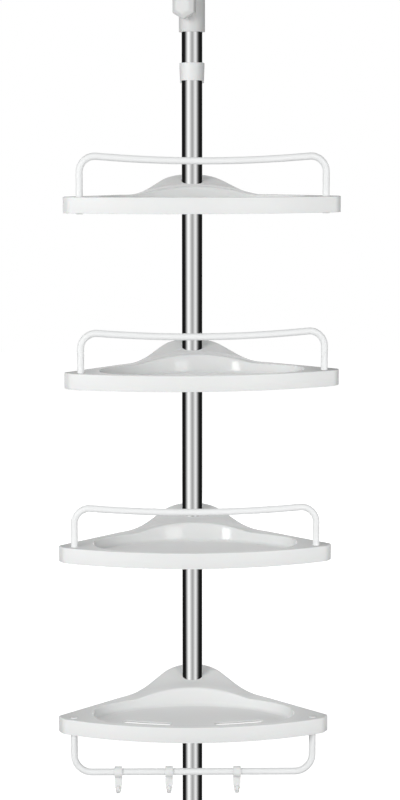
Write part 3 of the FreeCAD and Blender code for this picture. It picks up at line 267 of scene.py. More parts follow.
def deselect_all() -> None:
    """Leaves nothing selected, so that the next operator acts on its own piece."""
    bpy.ops.object.select_all(action="DESELECT")


def take(piece: Piece) -> None:
    """Selects one piece alone and makes it active.

    Args:
        piece: The piece that the next operators act on.
    """
    deselect_all()
    piece.select_set(True)
    bpy.context.view_layer.objects.active = piece


class Bench:
    """One piece held in edit mode while the block runs.

    Args:
        piece: The piece to work on.
    """

    def __init__(self, piece: Piece) -> None:
        self.piece = piece

    def __enter__(self) -> "Bench":
        """Goes into edit mode with everything selected.

        Returns:
            The bench.
        """
        take(self.piece)
        bpy.ops.object.mode_set(mode="EDIT")
        bpy.ops.mesh.select_all(action="SELECT")
        return self

    def __exit__(self, *problem: object) -> None:
        """Goes back to object mode."""
        bpy.ops.object.mode_set(mode="OBJECT")

    def pick(self, test: Callable[[Vector], bool], kind: Element = Element.VERTEX) -> None:
        """Selects the corners or faces whose middle passes a test, and nothing else.

        Args:
            test: Tells from an element's middle whether it is picked.
            kind: What is picked.
        """
        bpy.ops.mesh.select_mode(type=kind.value)
        bpy.ops.mesh.select_all(action="DESELECT")
        mesh = bmesh.from_edit_mesh(self.piece.data)
        if kind is Element.VERTEX:
            for vertex in mesh.verts:
                vertex.select = test(vertex.co)
        else:
            for face in mesh.faces:
                face.select = test(face.calc_center_median())
        mesh.select_flush_mode()
        bmesh.update_edit_mesh(self.piece.data)

    def close(self) -> None:
        """Merges doubles, fills open ends and turns the faces outward."""
        bpy.ops.mesh.select_mode(type="VERT")
        bpy.ops.mesh.select_all(action="SELECT")
        bpy.ops.mesh.remove_doubles(threshold=0.001 * MM)
        bpy.ops.mesh.fill_holes(sides=0)
        bpy.ops.mesh.select_all(action="SELECT")
        bpy.ops.mesh.normals_make_consistent(inside=False)


def named(name: str) -> Piece:
    """The object that was made last, with its new name.

    Args:
        name: The new name.

    Returns:
        The object.
    """
    made = bpy.context.object
    made.name = name
    return made


def ring(name: str, points: Sequence[Point]) -> Piece:
    """A closed wire loop, ready to be spun or extruded.

    Args:
        name: The piece's name.
        points: The loop's corners in order, in millimetres.

    Returns:
        The loop.
    """
    deselect_all()
    bpy.ops.mesh.primitive_circle_add(vertices=len(points), radius=MM, fill_type="NOTHING")
    piece = named(name)
    for vertex, point in zip(piece.data.vertices, points):
        vertex.co = Vector(point) * MM
    return piece


def skin(name: str, rings: Sequence[np.ndarray]) -> Piece:
    """A closed shell through rings of points that lie one after the other.

    Args:
        name: The piece's name.
        rings: The rings, each as rows of x, y and z in millimetres and all of one length.

    Returns:
        The shell, with its first and last ring filled.
    """
    deselect_all()
    bpy.ops.mesh.primitive_grid_add(x_subdivisions=len(rings[0]), y_subdivisions=len(rings) - 1, size=MM)
    piece = named(name)
    points = np.array([np.vstack([laid, laid[:1]]) for laid in rings]).reshape(-1, 3) * MM
    piece.data.vertices.foreach_set("co", points.ravel())
    with Bench(piece) as bench:
        bench.close()
    return piece


def spin(angle: float, centre: Point, axis: Point, steps: int) -> None:
    """Sweeps what is selected by degrees about an axis through a point in millimetres, right-handed."""
    bpy.ops.mesh.spin(steps=steps, angle=math.radians(angle), center=Vector(centre) * MM, axis=-Vector(axis))


def extrude(move: Point) -> None:
    """Extrudes what is selected by a distance in millimetres."""
    bpy.ops.mesh.extrude_region_move(TRANSFORM_OT_translate={"value": Vector(move) * MM})


def apply_modifier(piece: Piece, kind: str, settings: dict[str, object]) -> None:
    """Gives a piece a modifier and applies it.

    Args:
        piece: The piece.
        kind: The modifier's type.
        settings: Its settings.
    """
    take(piece)
    work = piece.modifiers.new("work", kind)
    for name, value in settings.items():
        setattr(work, name, value)
    bpy.ops.object.modifier_apply(modifier=work.name)


def combine(piece: Piece, tool: Piece, join: Join) -> None:
    """Joins a tool, whose own shapes don't overlap, to a piece or cuts it out, and uses it up."""
    apply_modifier(piece, "BOOLEAN", {"operation": join.value, "object": tool, "solver": "EXACT"})
    bpy.data.objects.remove(tool)


def merged(pieces: Sequence[Piece]) -> Piece:
    """Puts several pieces as they are into the first of them.

    Args:
        pieces: The pieces.

    Returns:
        The first piece.
    """
    take(pieces[0])
    for piece in pieces[1:]:
        piece.select_set(True)
    bpy.ops.object.join()
    return pieces[0]


def fused(pieces: Sequence[Piece]) -> Piece:
    """Unites several overlapping pieces to one closed piece.

    Args:
        pieces: The pieces.

    Returns:
        The first piece.
    """
    for piece in pieces[1:]:
        combine(pieces[0], piece, Join.UNION)
    return pieces[0]


def soften(piece: Piece, width: float, sharp: float, segments: int) -> None:
    """Rounds by a width in millimetres a piece's edges sharper than an angle in degrees."""
    apply_modifier(piece, "BEVEL", {"width": width * MM, "segments": segments, "limit_method": "ANGLE",
                                    "angle_limit": math.radians(sharp)})


def smooth(piece: Piece, sharp: float = 32) -> None:
    """Shades a piece smooth except over edges sharper than an angle in degrees."""
    take(piece)
    bpy.ops.object.shade_smooth_by_angle(angle=math.radians(sharp))


def set_down(piece: Piece) -> Piece:
    """Leaves a piece where it is, with its place in its mesh.

    Args:
        piece: The piece.

    Returns:
        The same piece.
    """
    take(piece)
    bpy.ops.object.transform_apply(location=True, rotation=True, scale=True)
    return piece


def put(piece: Piece, height: float = 0, yaw: float = 0, across: float = 0, behind: float = 0) -> Piece:
    """Moves a piece's mesh to its place and leaves its object at the origin.

    Args:
        piece: The piece, made round the pole's axis.
        height: Lift in millimetres.
        yaw: Turn about the pole's axis in degrees, before the move.
        across: Move to the right in millimetres.
        behind: Move to the rear in millimetres.

    Returns:
        The same piece.
    """
    piece.rotation_euler = (0, 0, math.radians(yaw))
    piece.location = Vector((across, behind, height)) * MM
    return set_down(piece)


def duplicate(piece: Piece, name: str) -> Piece:
    """Copies a piece with its mesh.

    Args:
        piece: The piece to copy.
        name: The copy's name.

    Returns:
        The copy.
    """
    take(piece)
    bpy.ops.object.duplicate(linked=False)
    return named(name)


def post(name: str, radius: float, foot: float, head: float, across: float = 0, behind: float = 0,
         steps: int = 64, head_radius: float | None = None) -> Piece:
    """An upright round solid between two heights, straight or conical.

    Args:
        name: The solid's name.
        radius: Radius in millimetres, at the foot where it is conical.
        foot: Height of its lower face.
        head: Height of its upper face.
        across: Its axis's distance to the right.
        behind: Its axis's distance to the rear.
        steps: Divisions of a full turn.
        head_radius: Radius at the head, where it differs.

    Returns:
        The solid.
    """
    deselect_all()
    bpy.ops.mesh.primitive_cylinder_add(vertices=steps, radius=radius * MM, depth=(head - foot) * MM)
    solid = named(name)
    if head_radius is not None:
        share = head_radius / radius
        with Bench(solid) as bench:
            bench.pick(lambda point: point.z > 0)
            bpy.ops.transform.resize(value=(share, share, 1.0))
    return put(solid, (head + foot) / 2, 0, across, behind)


# ---- Turned pieces ----
@dataclass(frozen=True)
class Turning:
    """A piece that is turned about the pole's axis from an outline with rounded corners.

    Attributes:
        outline: Corners as radius and height in millimetres.
        rounding: Width of the corners' rounding in millimetres.
        steps: Divisions of a full turn.
    """

    outline: Outline
    rounding: float
    steps: int = 96

    def build(self, name: str) -> Piece:
        """Draws the outline, rounds its corners and spins it.

        Args:
            name: The piece's name.

        Returns:
            The finished piece on the pole's axis.
        """
        piece = ring(name, [(radius, 0, height) for radius, height in self.outline])
        with Bench(piece) as bench:
            bench.pick(lambda point: point.x > NEAR)
            bpy.ops.mesh.bevel(offset=self.rounding * MM, segments=3, affect="VERTICES", clamp_overlap=True)
            bpy.ops.mesh.select_all(action="SELECT")
            spin(360, (0, 0, 0), (0, 0, 1), self.steps)
            bench.close()
        smooth(piece)
        return piece


def tube(outside: float, wall: float, foot: float, head: float) -> Turning:
    """A plain tube by its outside radius, its wall and the heights of its ends, in millimetres."""
    inside = outside - wall
    return Turning(((inside, foot), (outside, foot), (outside, head), (inside, head)), 0.2, 128)


# ---- Trays ----
@dataclass(frozen=True)
class Arc:
    """An arc seen from above, in millimetres and degrees.

    Attributes:
        centre: Its centre.
        radius: Its radius.
        start: Direction of its first point.
        end: Direction of its last point, counterclockwise from the first.
    """

    centre: Pair
    radius: float
    start: float
    end: float

    def samples(self, count: int) -> np.ndarray:
        """Points of the arc and their outward directions.

        Args:
            count: Number of points, its ends included.

        Returns:
            One row of x, y and outward x, y for each point.
        """
        turns = np.radians(np.linspace(self.start, self.end, count))
        outward = np.stack([np.cos(turns), np.sin(turns)], axis=1)
        return np.hstack([np.array(self.centre) + self.radius * outward, outward])

    def mirrored(self) -> "Arc":
        """The same arc on the other side of the centre line."""
        return Arc((-self.centre[0], self.centre[1]), self.radius, 180 - self.end, 180 - self.start)


def chain(arcs: Sequence[tuple[Arc, int, int]]) -> np.ndarray:
    """A closed outline of arcs with straight runs between them.

    Args:
        arcs: Each arc with its number of points and the number of steps in the run after it.

    Returns:
        One row of x, y and outward x, y for each point, counterclockwise.
    """
    rows: list[np.ndarray] = []
    for index, (arc, count, run) in enumerate(arcs):
        own, following = arc.samples(count), arcs[(index + 1) % len(arcs)][0].samples(2)[0]
        shares = np.linspace(0, 1, run + 1)[1:-1, None]
        rows += [own, own[-1] + (following - own[-1]) * shares]
    return np.vstack(rows)


@dataclass(frozen=True)
class HumpSection:
    """One upright section of the hump, in millimetres over the rim.

    Attributes:
        behind: Distance behind the pole's axis.
        middle: Height on the centre line.
        across: Half-width at which the side height is given.
        side: Height at that half-width.
    """

    behind: float
    middle: float
    across: float
    side: float


class Spline:
    """A smooth curve through given values, with free ends.

    Args:
        places: Where the values are given, rising.
        values: The values.
    """

    def __init__(self, places: Sequence[float], values: Sequence[float]) -> None:
        self.places, self.values = np.array(places, float), np.array(values, float)
        count, gap = len(places), np.diff(self.places)
        slope = np.diff(self.values) / gap
        system, right = np.eye(count), np.zeros(count)
        for row in range(1, count - 1):
            system[row, row - 1:row + 2] = gap[row - 1], 2 * (gap[row - 1] + gap[row]), gap[row]
            right[row] = 6 * (slope[row] - slope[row - 1])
        self.bends = np.linalg.solve(system, right)

    def __call__(self, place: np.ndarray) -> np.ndarray:
        """The curve's values.

        Args:
            place: Where they are wanted.

        Returns:
            The value at each place.
        """
        held = np.clip(place, self.places[0], self.places[-1])
        right = np.clip(np.searchsorted(self.places, held), 1, len(self.places) - 1)
        left, gap = right - 1, self.places[right] - self.places[right - 1]
        ahead, back = (self.places[right] - held) / gap, (held - self.places[left]) / gap
        straight = ahead * self.values[left] + back * self.values[right]
        bend = (ahead ** 3 - ahead) * self.bends[left] + (back ** 3 - back) * self.bends[right]
        return straight + bend * gap ** 2 / 6


@dataclass(frozen=True)
class TrayForm:
    """The moulded corner tray, with its rim at height 0 and the pole's axis as the Z axis.

    Sizes are in millimetres. It is one closed shell, laid as rings of points from the middle of
    the pocket's floor over the rim and down the outside, then back under it. The outline stands
    back by `clear`. The hump fades into the rim over `crease`. The pocket's lip and the outer
    edge grow rounder where the hump is high, up to hump_lip at the height lip_full and up to
    hump_round at the height round_full. A rib is its direction, then its reach at the bend and
    at the foot. The steps are divisions of a rounding, of the top and of the underside, and the
    floor's inner rings stand at floor_shares of the way from its middle to its edge.
    """

    clear: float = 0.02
    half_width: float = 160.0
    front_radius: float = 354.96
    front_reach: float = 164.975
    corner_radius: float = 12.0
    end_angle: float = 62.0
    end_radius: float = 5.0
    apex_reach: float = 44.125
    rear_radius: float = 51.0
    wall: float = 2.5
    rim_round: float = 1.2
    hump_round: float = 3.0
    round_full: float = 4.0
    foot_round: float = 0.5
    flange: float = 10.0
    pocket_rear: float = 38.0
    pocket_end_radius: float = 38.0
    pocket_margin: float = 40.0
    pocket_middle: float = -97.0
    pocket_depth: float = 13.0
    pocket_round: float = 4.0
    pocket_lip: float = 1.1
    hump_lip: float = 3.2
    lip_full: float = 8.0
    crease: float = 1.0
    crease_fade: float = 3.0
    no_hump: float = -9.0
    hump_margin: float = 6.0
    hub_radius: float = 21.3
    hub_top: float = 8.0
    seat_foot_radius: float = 16.725
    seat_head_radius: float = 14.48
    seat_foot: float = -23.5
    seat_head: float = 4.0
    pole_hole: float = 13.0
    rib: float = 2.0
    rib_lift: float = 4.0
    ribs: tuple[tuple[float, float, float], ...] = (
        (0, 42, 42), (180, 42, 42), (240, 42.5, 46), (300, 42.5, 46),
    )
    socket_radius: float = 4.05
    socket_boss: float = 7.2
    socket_depth: float = 9.5
    socket_web: float = 2.5
    screw_hole: float = 1.95
    slot_width: float = 8.0
    slot_bevel: float = 1.0
    slot_insets: Pair = (55.0, 35.0)
    slot_reach: Pair = (30.0, 80.0)
    overcut: float = 0.5
    round_steps: int = 5
    top_steps: int = 14
    under_steps: int = 8
    floor_shares: tuple[float, ...] = (0.2, 0.45, 0.7, 0.88)
    sections: tuple[HumpSection, ...] = (
        HumpSection(-62, 2.0, 72, -2.5),
        HumpSection(-38, 9.0, 76, -0.3),
        HumpSection(-20, 10.6, 64, 2.6),
        HumpSection(-5, 13.4, 49, 10.4),
        HumpSection(12, 20.6, 31, 19.0),
        HumpSection(29, 23.8, 16, 22.8),
    )

    def build(self, name: str) -> Piece:
        """Makes the shell, then its hub, bosses, ribs, seat, sockets and drain slots.

        Args:
            name: The piece's name.

        Returns:
            The finished tray.
        """
        tray = skin(name, self._rings())
        combine(tray, self._fittings(), Join.UNION)
        combine(tray, self._holes(), Join.CUT)
        smooth(tray)
        return tray

    def _front_centre(self) -> float:
        """How far behind the pole's axis the front edge's centre is."""
        return self.front_radius - self.front_reach

    def _outline(self) -> np.ndarray:
        """The tray seen from above, as points and outward directions.

        Returns:
            One row of x, y and outward x, y for each point.
        """
        lean, diagonal = math.radians(self.end_angle), math.sqrt(2)
        front = np.array((0.0, self._front_centre()))
        end = np.array((self.half_width - self.end_radius,
                        self.apex_reach - self.half_width + self.end_radius * (1 - diagonal)))
        outward = np.array((math.sin(lean), -math.cos(lean)))
        along = np.array((math.cos(lean), math.sin(lean)))
        shifted = end + outward * (self.end_radius - self.corner_radius)
        sight = shifted - front
        middle = sight @ along
        root = math.sqrt(middle ** 2 - sight @ sight + (self.front_radius - self.corner_radius) ** 2)
        corner = shifted + along * min(root - middle, -root - middle, key=abs)
        swing = math.degrees(math.atan2(*(corner - front)[::-1]))
        face = self.end_angle - 90
        front_corner = Arc(tuple(corner), self.corner_radius, swing, face)
        rear_end = Arc(tuple(end), self.end_radius, face, 45)
        rear = Arc((0.0, self.apex_reach - diagonal * self.rear_radius), self.rear_radius, 45, 135)
        bow = Arc(tuple(front), self.front_radius, -180 - swing, swing)
        rows = chain([(front_corner, 9, 4), (rear_end, 9, 34), (rear, 41, 34), (rear_end.mirrored(), 9, 4),
                      (front_corner.mirrored(), 9, 1), (bow, 72, 1)])
        rows[:, :2] -= rows[:, 2:] * self.clear
        return rows

    def _pocket(self, centre: np.ndarray, directions: np.ndarray) -> np.ndarray:
        """The pocket seen from above, as points and outward directions.

        Args:
            centre: A point inside the pocket.
            directions: Directions from it in radians.

        Returns:
            One row of x, y and outward x, y for each direction.
        """
        end_radius, middle = self.pocket_end_radius, self._front_centre()
        across = self.half_width - self.pocket_margin - end_radius
        front = self.front_radius - self.flange
        up = middle - math.sqrt((front - end_radius) ** 2 - across ** 2)
        deep = -self.pocket_rear - up
        rear = (across ** 2 + deep ** 2 - end_radius ** 2) / (2 * (deep - end_radius))
        low = math.degrees(math.atan2(up - middle, across))
        high = math.degrees(math.atan2(up + self.pocket_rear + rear, across))
        end = Arc((across, up), end_radius, low, high)
        back = Arc((0.0, -self.pocket_rear - rear), rear, high, 180 - high)
        bow = Arc((0.0, middle), front, -180 - low, low)
        fine = chain([(end, 300, 1), (back, 600, 1), (end.mirrored(), 300, 1), (bow, 600, 1)])
        seen = np.arctan2(fine[:, 1] - centre[1], fine[:, 0] - centre[0])
        order = np.argsort(seen)
        return np.stack([np.interp(directions, seen[order], column[order], period=2 * math.pi)
                         for column in fine.T], axis=1)

    def _height(self, places: np.ndarray) -> np.ndarray:
        """The top surface over the rim: flat in front, and the hump behind.

        Args:
            places: Points as x and y.

        Returns:
            The height at each point.
        """
        behind = [section.behind for section in self.sections]
        wide = [section.across + self.hump_margin for section in self.sections]
        edge = [section.middle + (section.side - section.middle) * (reach / section.across) ** 2
                for section, reach in zip(self.sections, wide)]
        across, middle, side = (Spline(behind, values)(places[:, 1]) for values in
                                (wide, [section.middle for section in self.sections], edge))
        hump = middle + (side - middle) * (places[:, 0] / across) ** 2
        hump = np.where(places[:, 1] < behind[0], self.no_hump, hump)
        fade = self.crease / 2 * np.exp(-(hump / self.crease_fade) ** 2)
        return (hump + np.sqrt(hump ** 2 + self.crease ** 2)) / 2 - fade

    def _rings(self) -> list[np.ndarray]:
        """Lays the rings of points that make the shell.

        Returns:
            The rings in order, each as rows of x, y and z.
        """
        outline = self._outline()
        centre = np.array((0.0, self.pocket_middle))
        pocket = self._pocket(centre, np.arctan2(outline[:, 1] - centre[1], outline[:, 0] - centre[0]))
        turns = np.radians(np.linspace(0, 90, self.round_steps + 1))
        quarter = [(1 - math.sin(turn), 1 - math.cos(turn)) for turn in turns]
        made: list[np.ndarray] = []

        def lay(flat: np.ndarray, height: np.ndarray | float) -> None:
            """Adds a ring of points seen from above, at one height or many."""
            made.append(np.column_stack([flat, np.broadcast_to(height, len(flat))]))

        def moved(source: np.ndarray, inward: np.ndarray | float) -> np.ndarray:
            """An outline's points, moved inward."""
            return source[:, :2] - source[:, 2:] * np.reshape(inward, (-1, 1))

        def inner_floor(level: float, shares: Sequence[float]) -> None:
            """Adds the rings of a flat floor inside its rounding."""
            for share in shares:
                lay(centre + (moved(pocket, self.pocket_round) - centre) * share, level)

        floor, under = -self.pocket_depth, self.pocket_round + self.wall
        rise = np.clip(self._height(pocket[:, :2]) / self.lip_full, 0, 1)
        lip = self.pocket_lip + (self.hump_lip - self.pocket_lip) * rise
        inner_floor(floor, self.floor_shares)
        for inward, up in quarter:
            lay(moved(pocket, self.pocket_round * inward), floor + self.pocket_round * up)
        start = moved(pocket, -lip)
        brink = self._height(start)
        for down, outward in quarter:
            lay(moved(pocket, -lip * outward), brink - lip * down)
        rise = np.clip(self._height(outline[:, :2]) / self.round_full, 0, 1)
        bend = self.rim_round + (self.hump_round - self.rim_round) * rise
        stop = moved(outline, bend)
        for share in np.linspace(0, 1, self.top_steps + 1)[1:-1]:
            flat = start + (stop - start) * share
            lay(flat, self._height(flat))
        top = self._height(stop)
        for inward, down in quarter:
            lay(moved(outline, bend * inward), top - bend * down)
        lay(outline[:, :2], np.minimum(top - bend, -self.rim_round) * 0.5 - BAND * 0.5)
        for up, inward in quarter[::2]:
            lay(moved(outline, self.foot_round * inward), -BAND + self.foot_round * up)
        near, far = moved(outline, self.wall), moved(pocket, -self.wall)
        lay(near, -BAND)
        for share in np.linspace(0, 1, self.under_steps + 1):
            flat = near + (far - near) * share
            lay(flat, self._height(flat) - self.wall)
        for inward, up in quarter[::-1]:
            lay(moved(pocket, under * inward - self.wall), floor - self.wall + under * up)
        inner_floor(floor - self.wall, self.floor_shares[::-1])
        return made

    def _fittings(self) -> Piece:
        """Makes the hub, the bosses round the rail sockets and the ribs under the hump.

        Returns:
            All of them as one piece.
        """
        hub = post("hub", self.hub_radius, -BAND, self.hub_top)
        bosses = [post("boss", self.socket_boss, -BAND, -self.wall / 2, side * SOCKET_ACROSS,
                       -SOCKET_AHEAD, 32) for side in (-1, 1)]
        return fused([hub, *bosses, *(self._rib(*row) for row in self.ribs)])

    def _rib(self, turn: float, reach: float, foot_reach: float) -> Piece:
        """Makes one rib from the hub outward, as a plate set on edge.

        Args:
            turn: Its direction in degrees, counterclockwise from the right.
            reach: Its length at the bend and above.
            foot_reach: Its length at the foot.

        Returns:
            The rib.
        """
        foot, bend, head = self.rib_lift - BAND, -self.pocket_depth + self.wall, -self.wall / 2
        outline = ((0, foot), (foot_reach, foot), (reach, bend), (reach, head), (0, head))
        plate = ring("rib", [(across, -self.rib / 2, height) for across, height in outline])
        with Bench(plate) as bench:
            bpy.ops.mesh.edge_face_add()
            extrude((0, self.rib, 0))
            bench.close()
        return put(plate, 0, turn)

    def _holes(self) -> Piece:
        """Makes what cuts the pole's hole and seat, the sockets and the drain slots.

        Returns:
            The solids that cut them, as one piece.
        """
        low, high = -2 * BAND, 2 * BAND
        tools = [fused([
            post("pole_hole", self.pole_hole, low, high, steps=96),
            post("seat", self.seat_foot_radius, self.seat_foot, self.seat_head, steps=96,
                 head_radius=self.seat_head_radius),
        ])]
        web_foot = -self.socket_depth - self.socket_web
        for side in (-1, 1):
            spot = (side * SOCKET_ACROSS, -SOCKET_AHEAD, 32)
            tools.append(fused([
                post("screw_hole", self.screw_hole, low, high, *spot),
                post("socket_top", self.socket_radius, -self.socket_depth, high + 1, *spot),
                post("socket_bottom", self.socket_radius, low - 1, web_foot, *spot),
            ]))
            tools += [self._slot(inset, side) for inset in self.slot_insets]
        return merged(tools)

    def _slot(self, inset: float, side: int) -> Piece:
        """Makes a curved drain slot with round ends and bevelled edges.

        Args:
            inset: How far its middle line is inside the front edge.
            side: 1 for the right side and -1 for the left.

        Returns:
            The solid that cuts it.
        """
        radius = self.front_radius - inset
        near, far = (side * math.degrees(math.asin(reach / radius)) for reach in self.slot_reach)
        path = Arc((0.0, self._front_centre()), radius, -90 + near, -90 + far).samples(13)
        heading, leaving = (math.degrees(math.atan2(path[row, 3], path[row, 2])) for row in (-1, 0))
        top, bottom = -self.pocket_depth, -self.pocket_depth - self.wall
        wide = self.slot_bevel + self.overcut
        loops = []
        for level, more in ((bottom - self.overcut, wide), (bottom + self.slot_bevel, 0.0),
                            (top - self.slot_bevel, 0.0), (top + self.overcut, wide)):
            half = more + self.slot_width / 2
            last, first = (Arc(tuple(path[row, :2]), half, start, start + side * 180).samples(9)[1:-1, :2]
                           for row, start in ((-1, heading), (0, leaving + side * 180)))
            flat = np.vstack([path[:, :2] + path[:, 2:] * half, last,
                              path[::-1, :2] - path[::-1, 2:] * half, first])
            loops.append(np.column_stack([flat, np.full(len(flat), level)]))
        return skin("slot", loops)


# ---- The pole and its ends ----
@dataclass(frozen=True)
class Pole:
    """The polished outer tube in three sections and the inner tube that slides in it.

    Heights are in millimetres over the floor.
    """

    radius: float = 12.5
    wall: float = 1.0
    foot: float = 10.0
    seams: Pair = (391.0, 805.0)
    top: float = 1220.0
    inner_radius: float = 11.0
    inner_wall: float = 0.8
    inner_foot: float = 980.0
    inner_top: float = 1505.0

    def build(self) -> None:
        """Makes the four tubes."""
        heights = (self.foot, *self.seams, self.top)
        for place, name in enumerate(("lower", "middle", "upper")):
            section = tube(self.radius, self.wall, heights[place], heights[place + 1])
            adopt(section.build(name), f"{name}_pole_section", "polished_tube")
        inner = tube(self.inner_radius, self.inner_wall, self.inner_foot, self.inner_top)
        adopt(inner.build("inner"), "inner_pole", "polished_tube")


@dataclass(frozen=True)
class End:
    """A turned piece at the pole's foot or at its sprung upper end.

    Attributes:
        node: Name of the node that it stands for.
        slot: The slot of its finish.
        height: Height over the floor at which its outline has 0, in millimetres.
        rounding: Width of its corners' rounding in millimetres.
        outline: Its corners as radius and height.
    """

    node: str
    slot: str
    height: float
    rounding: float
    outline: Outline

    def build(self) -> None:
        """Turns the piece."""
        piece = Turning(self.outline, self.rounding).build(self.node)
        adopt(put(piece, self.height), self.node, self.slot)


ENDS = (
    End("foot_pad", "pad_rubber", 0, 0.4, ((0, 0), (31, 0), (32, 1), (32, 7), (29, 7), (29, 3), (0, 3))),
    End("foot_cap", "white_plastic", 0, 0.8,
        ((0, 3), (29, 3), (29, 7.5), (18.55, 20), (15.55, 23), (15.55, 41), (14.55, 42), (12.55, 42),
         (12.55, 10), (7, 10), (7, 31), (6, 32), (0, 32))),
    End("plunger_bush", "white_plastic", 1505, 0.25,
        ((9.55, -30), (10.15, -30), (10.15, 0), (12.5, 0), (12.5, 3), (11.5, 4), (9.55, 4))),
    End("plunger_rod", "polished_tube", 1470, 0.2,
        ((6, 0), (10.1, 0), (10.1, 4.6), (9.5, 4.6), (9.5, 108), (8.5, 108), (8.5, 4.6), (6, 4.6))),
    End("ceiling_cap", "white_plastic", 1578, 0.8,
        ((9.55, -26), (11.55, -26), (12.55, -25), (12.55, -13), (15.55, -10), (29, 0), (29, 4.5), (0, 4.5),
         (0, 0), (9.55, 0))),
    End("ceiling_pad", "pad_rubber", 1585.5, 0.4,
        ((0, 0), (31, 0), (32, -1), (32, -7), (29, -7), (29, -3), (0, -3))),
)


# ---- The clamp and the split sleeves ----
@dataclass(frozen=True)
class Clamp:
    """The sleeve at the outer tube's end, with a boss for the six-sided knob's screw."""

    foot: float = 1202.0
    length: float = 58.0
    yaw: float = -21.0
    bore: float = 12.55
    upper_bore: float = 11.05
    grip: float = 18.0
    radius: float = 15.6
    sleeve_round: float = 0.6
    boss_radius: float = 9.0
    boss_reach: float = 20.5
    boss_edge: float = 0.9
    screw_hole: float = 3.55
    knob_gap: float = 1.0
    knob_flats: float = 27.5
    knob_side: float = 7.5
    knob_round: float = 1.3
    crown: float = 3.6
    crown_flats: float = 17.0

    def build(self) -> None:
        """Makes the sleeve and its knob."""
        adopt(self._sleeve(), "clamp_body", "white_plastic", CLAMP_PLASTIC)
        adopt(self._knob(), "clamp_knob", "white_plastic", CLAMP_PLASTIC)

    def _sleeve(self) -> Piece:
        """Makes the turned sleeve with its boss, hollow for the tubes and the screw.

        Returns:
            The sleeve in its place.
        """
        outline = ((self.bore, 0), (self.radius, 0), (self.radius, self.length),
                   (self.upper_bore, self.length), (self.upper_bore, self.grip), (self.bore, self.grip))
        sleeve = Turning(outline, self.sleeve_round).build("sleeve")
        boss = self._bar("boss", self.boss_radius, self.bore + 1, self.boss_reach, 64)
        with Bench(boss) as bench:
            bench.pick(lambda point: point.y < NEAR - self.boss_reach * MM, Element.FACE)
            bpy.ops.mesh.bevel(offset=self.boss_edge * MM, segments=3, affect="EDGES")
        combine(sleeve, boss, Join.UNION)
        hole = self._bar("hole", self.screw_hole, self.upper_bore - 3, self.boss_reach + 2, 32)
        combine(sleeve, hole, Join.CUT)
        smooth(sleeve, 28)
        return put(sleeve, self.foot, self.yaw)

    def _knob(self) -> Piece:
        """Makes the knob, a six-sided prism with a sloped crown and rounded edges.

        Returns:
            The knob in its place.
        """
        back = self.boss_reach + self.knob_gap
        front, corners = back + self.knob_side, self.knob_flats / math.sqrt(3)
        knob = self._bar("knob", corners, back, front, 6)
        with Bench(knob) as bench:
            bench.pick(lambda point: point.y < NEAR - front * MM, Element.FACE)
            extrude((0, -self.crown, 0))
            share = self.crown_flats / self.knob_flats
            bpy.ops.transform.resize(value=(share, 1.0, share))
        soften(knob, self.knob_round, sharp=20, segments=4)
        smooth(knob, 40)
        return put(knob, self.foot, self.yaw)

    def _bar(self, name: str, radius: float, near: float, far: float, sides: int) -> Piece:
        """A round or many-sided bar toward the front, at half the sleeve's height.

        Args:
            name: The bar's name.
            radius: Radius over its corners.
            near: Distance of its rear end from the pole's axis.
            far: Distance of its front end.
            sides: Number of its sides.

        Returns:
            The bar.
        """
        deselect_all()
        bpy.ops.mesh.primitive_cylinder_add(vertices=sides, radius=radius * MM, depth=(far - near) * MM,
                                            location=Vector((0, -(near + far) / 2, self.length / 2)) * MM,
                                            rotation=(math.radians(90), 0, 0))
        return set_down(named(name))


@dataclass(frozen=True)
class SplitSleeve:
    """A turned sleeve in two halves with a slit between them.

    Attributes:
        name: What its nodes are called, before the side.
        slot: The slot of its finish.
        outline: Corners as radius and height in millimetres.
        heights: Height of the front half and of the rear half.
        yaw: Turn about the pole's axis in degrees.
        rounding: Width of its corners' rounding.
        slit: Gap between the halves.
    """

    name: str
    slot: str
    outline: Outline
    heights: Pair
    yaw: float = 0.0
    rounding: float = 0.5
    slit: float = 1.0

    def build(self) -> None:
        """Turns the sleeve once and keeps each half from a copy."""
        whole = Turning(self.outline, self.rounding).build(self.name)
        for side, height, sign in zip(("front", "rear"), self.heights, (-1, 1)):
            half = duplicate(whole, f"{self.name}_{side}")
            with Bench(half) as bench:
                bpy.ops.mesh.bisect(plane_co=(0, sign * self.slit / 2 * MM, 0), plane_no=(0, sign, 0),
                                    clear_inner=True, use_fill=True)
                bench.close()
            smooth(half)
            adopt(put(half, height, self.yaw), f"{self.name}_{side}_half", self.slot)
        bpy.data.objects.remove(whole)


STOP_OUTLINE = ((12.55, 0), (14.3, 0), (15.1, 20), (14.6, 21), (12.55, 21))
WEDGE_OUTLINE = ((12.55, -23.5), (16.4, -23.5), (16.4, -20.5), (14.4, 4), (12.55, 4))


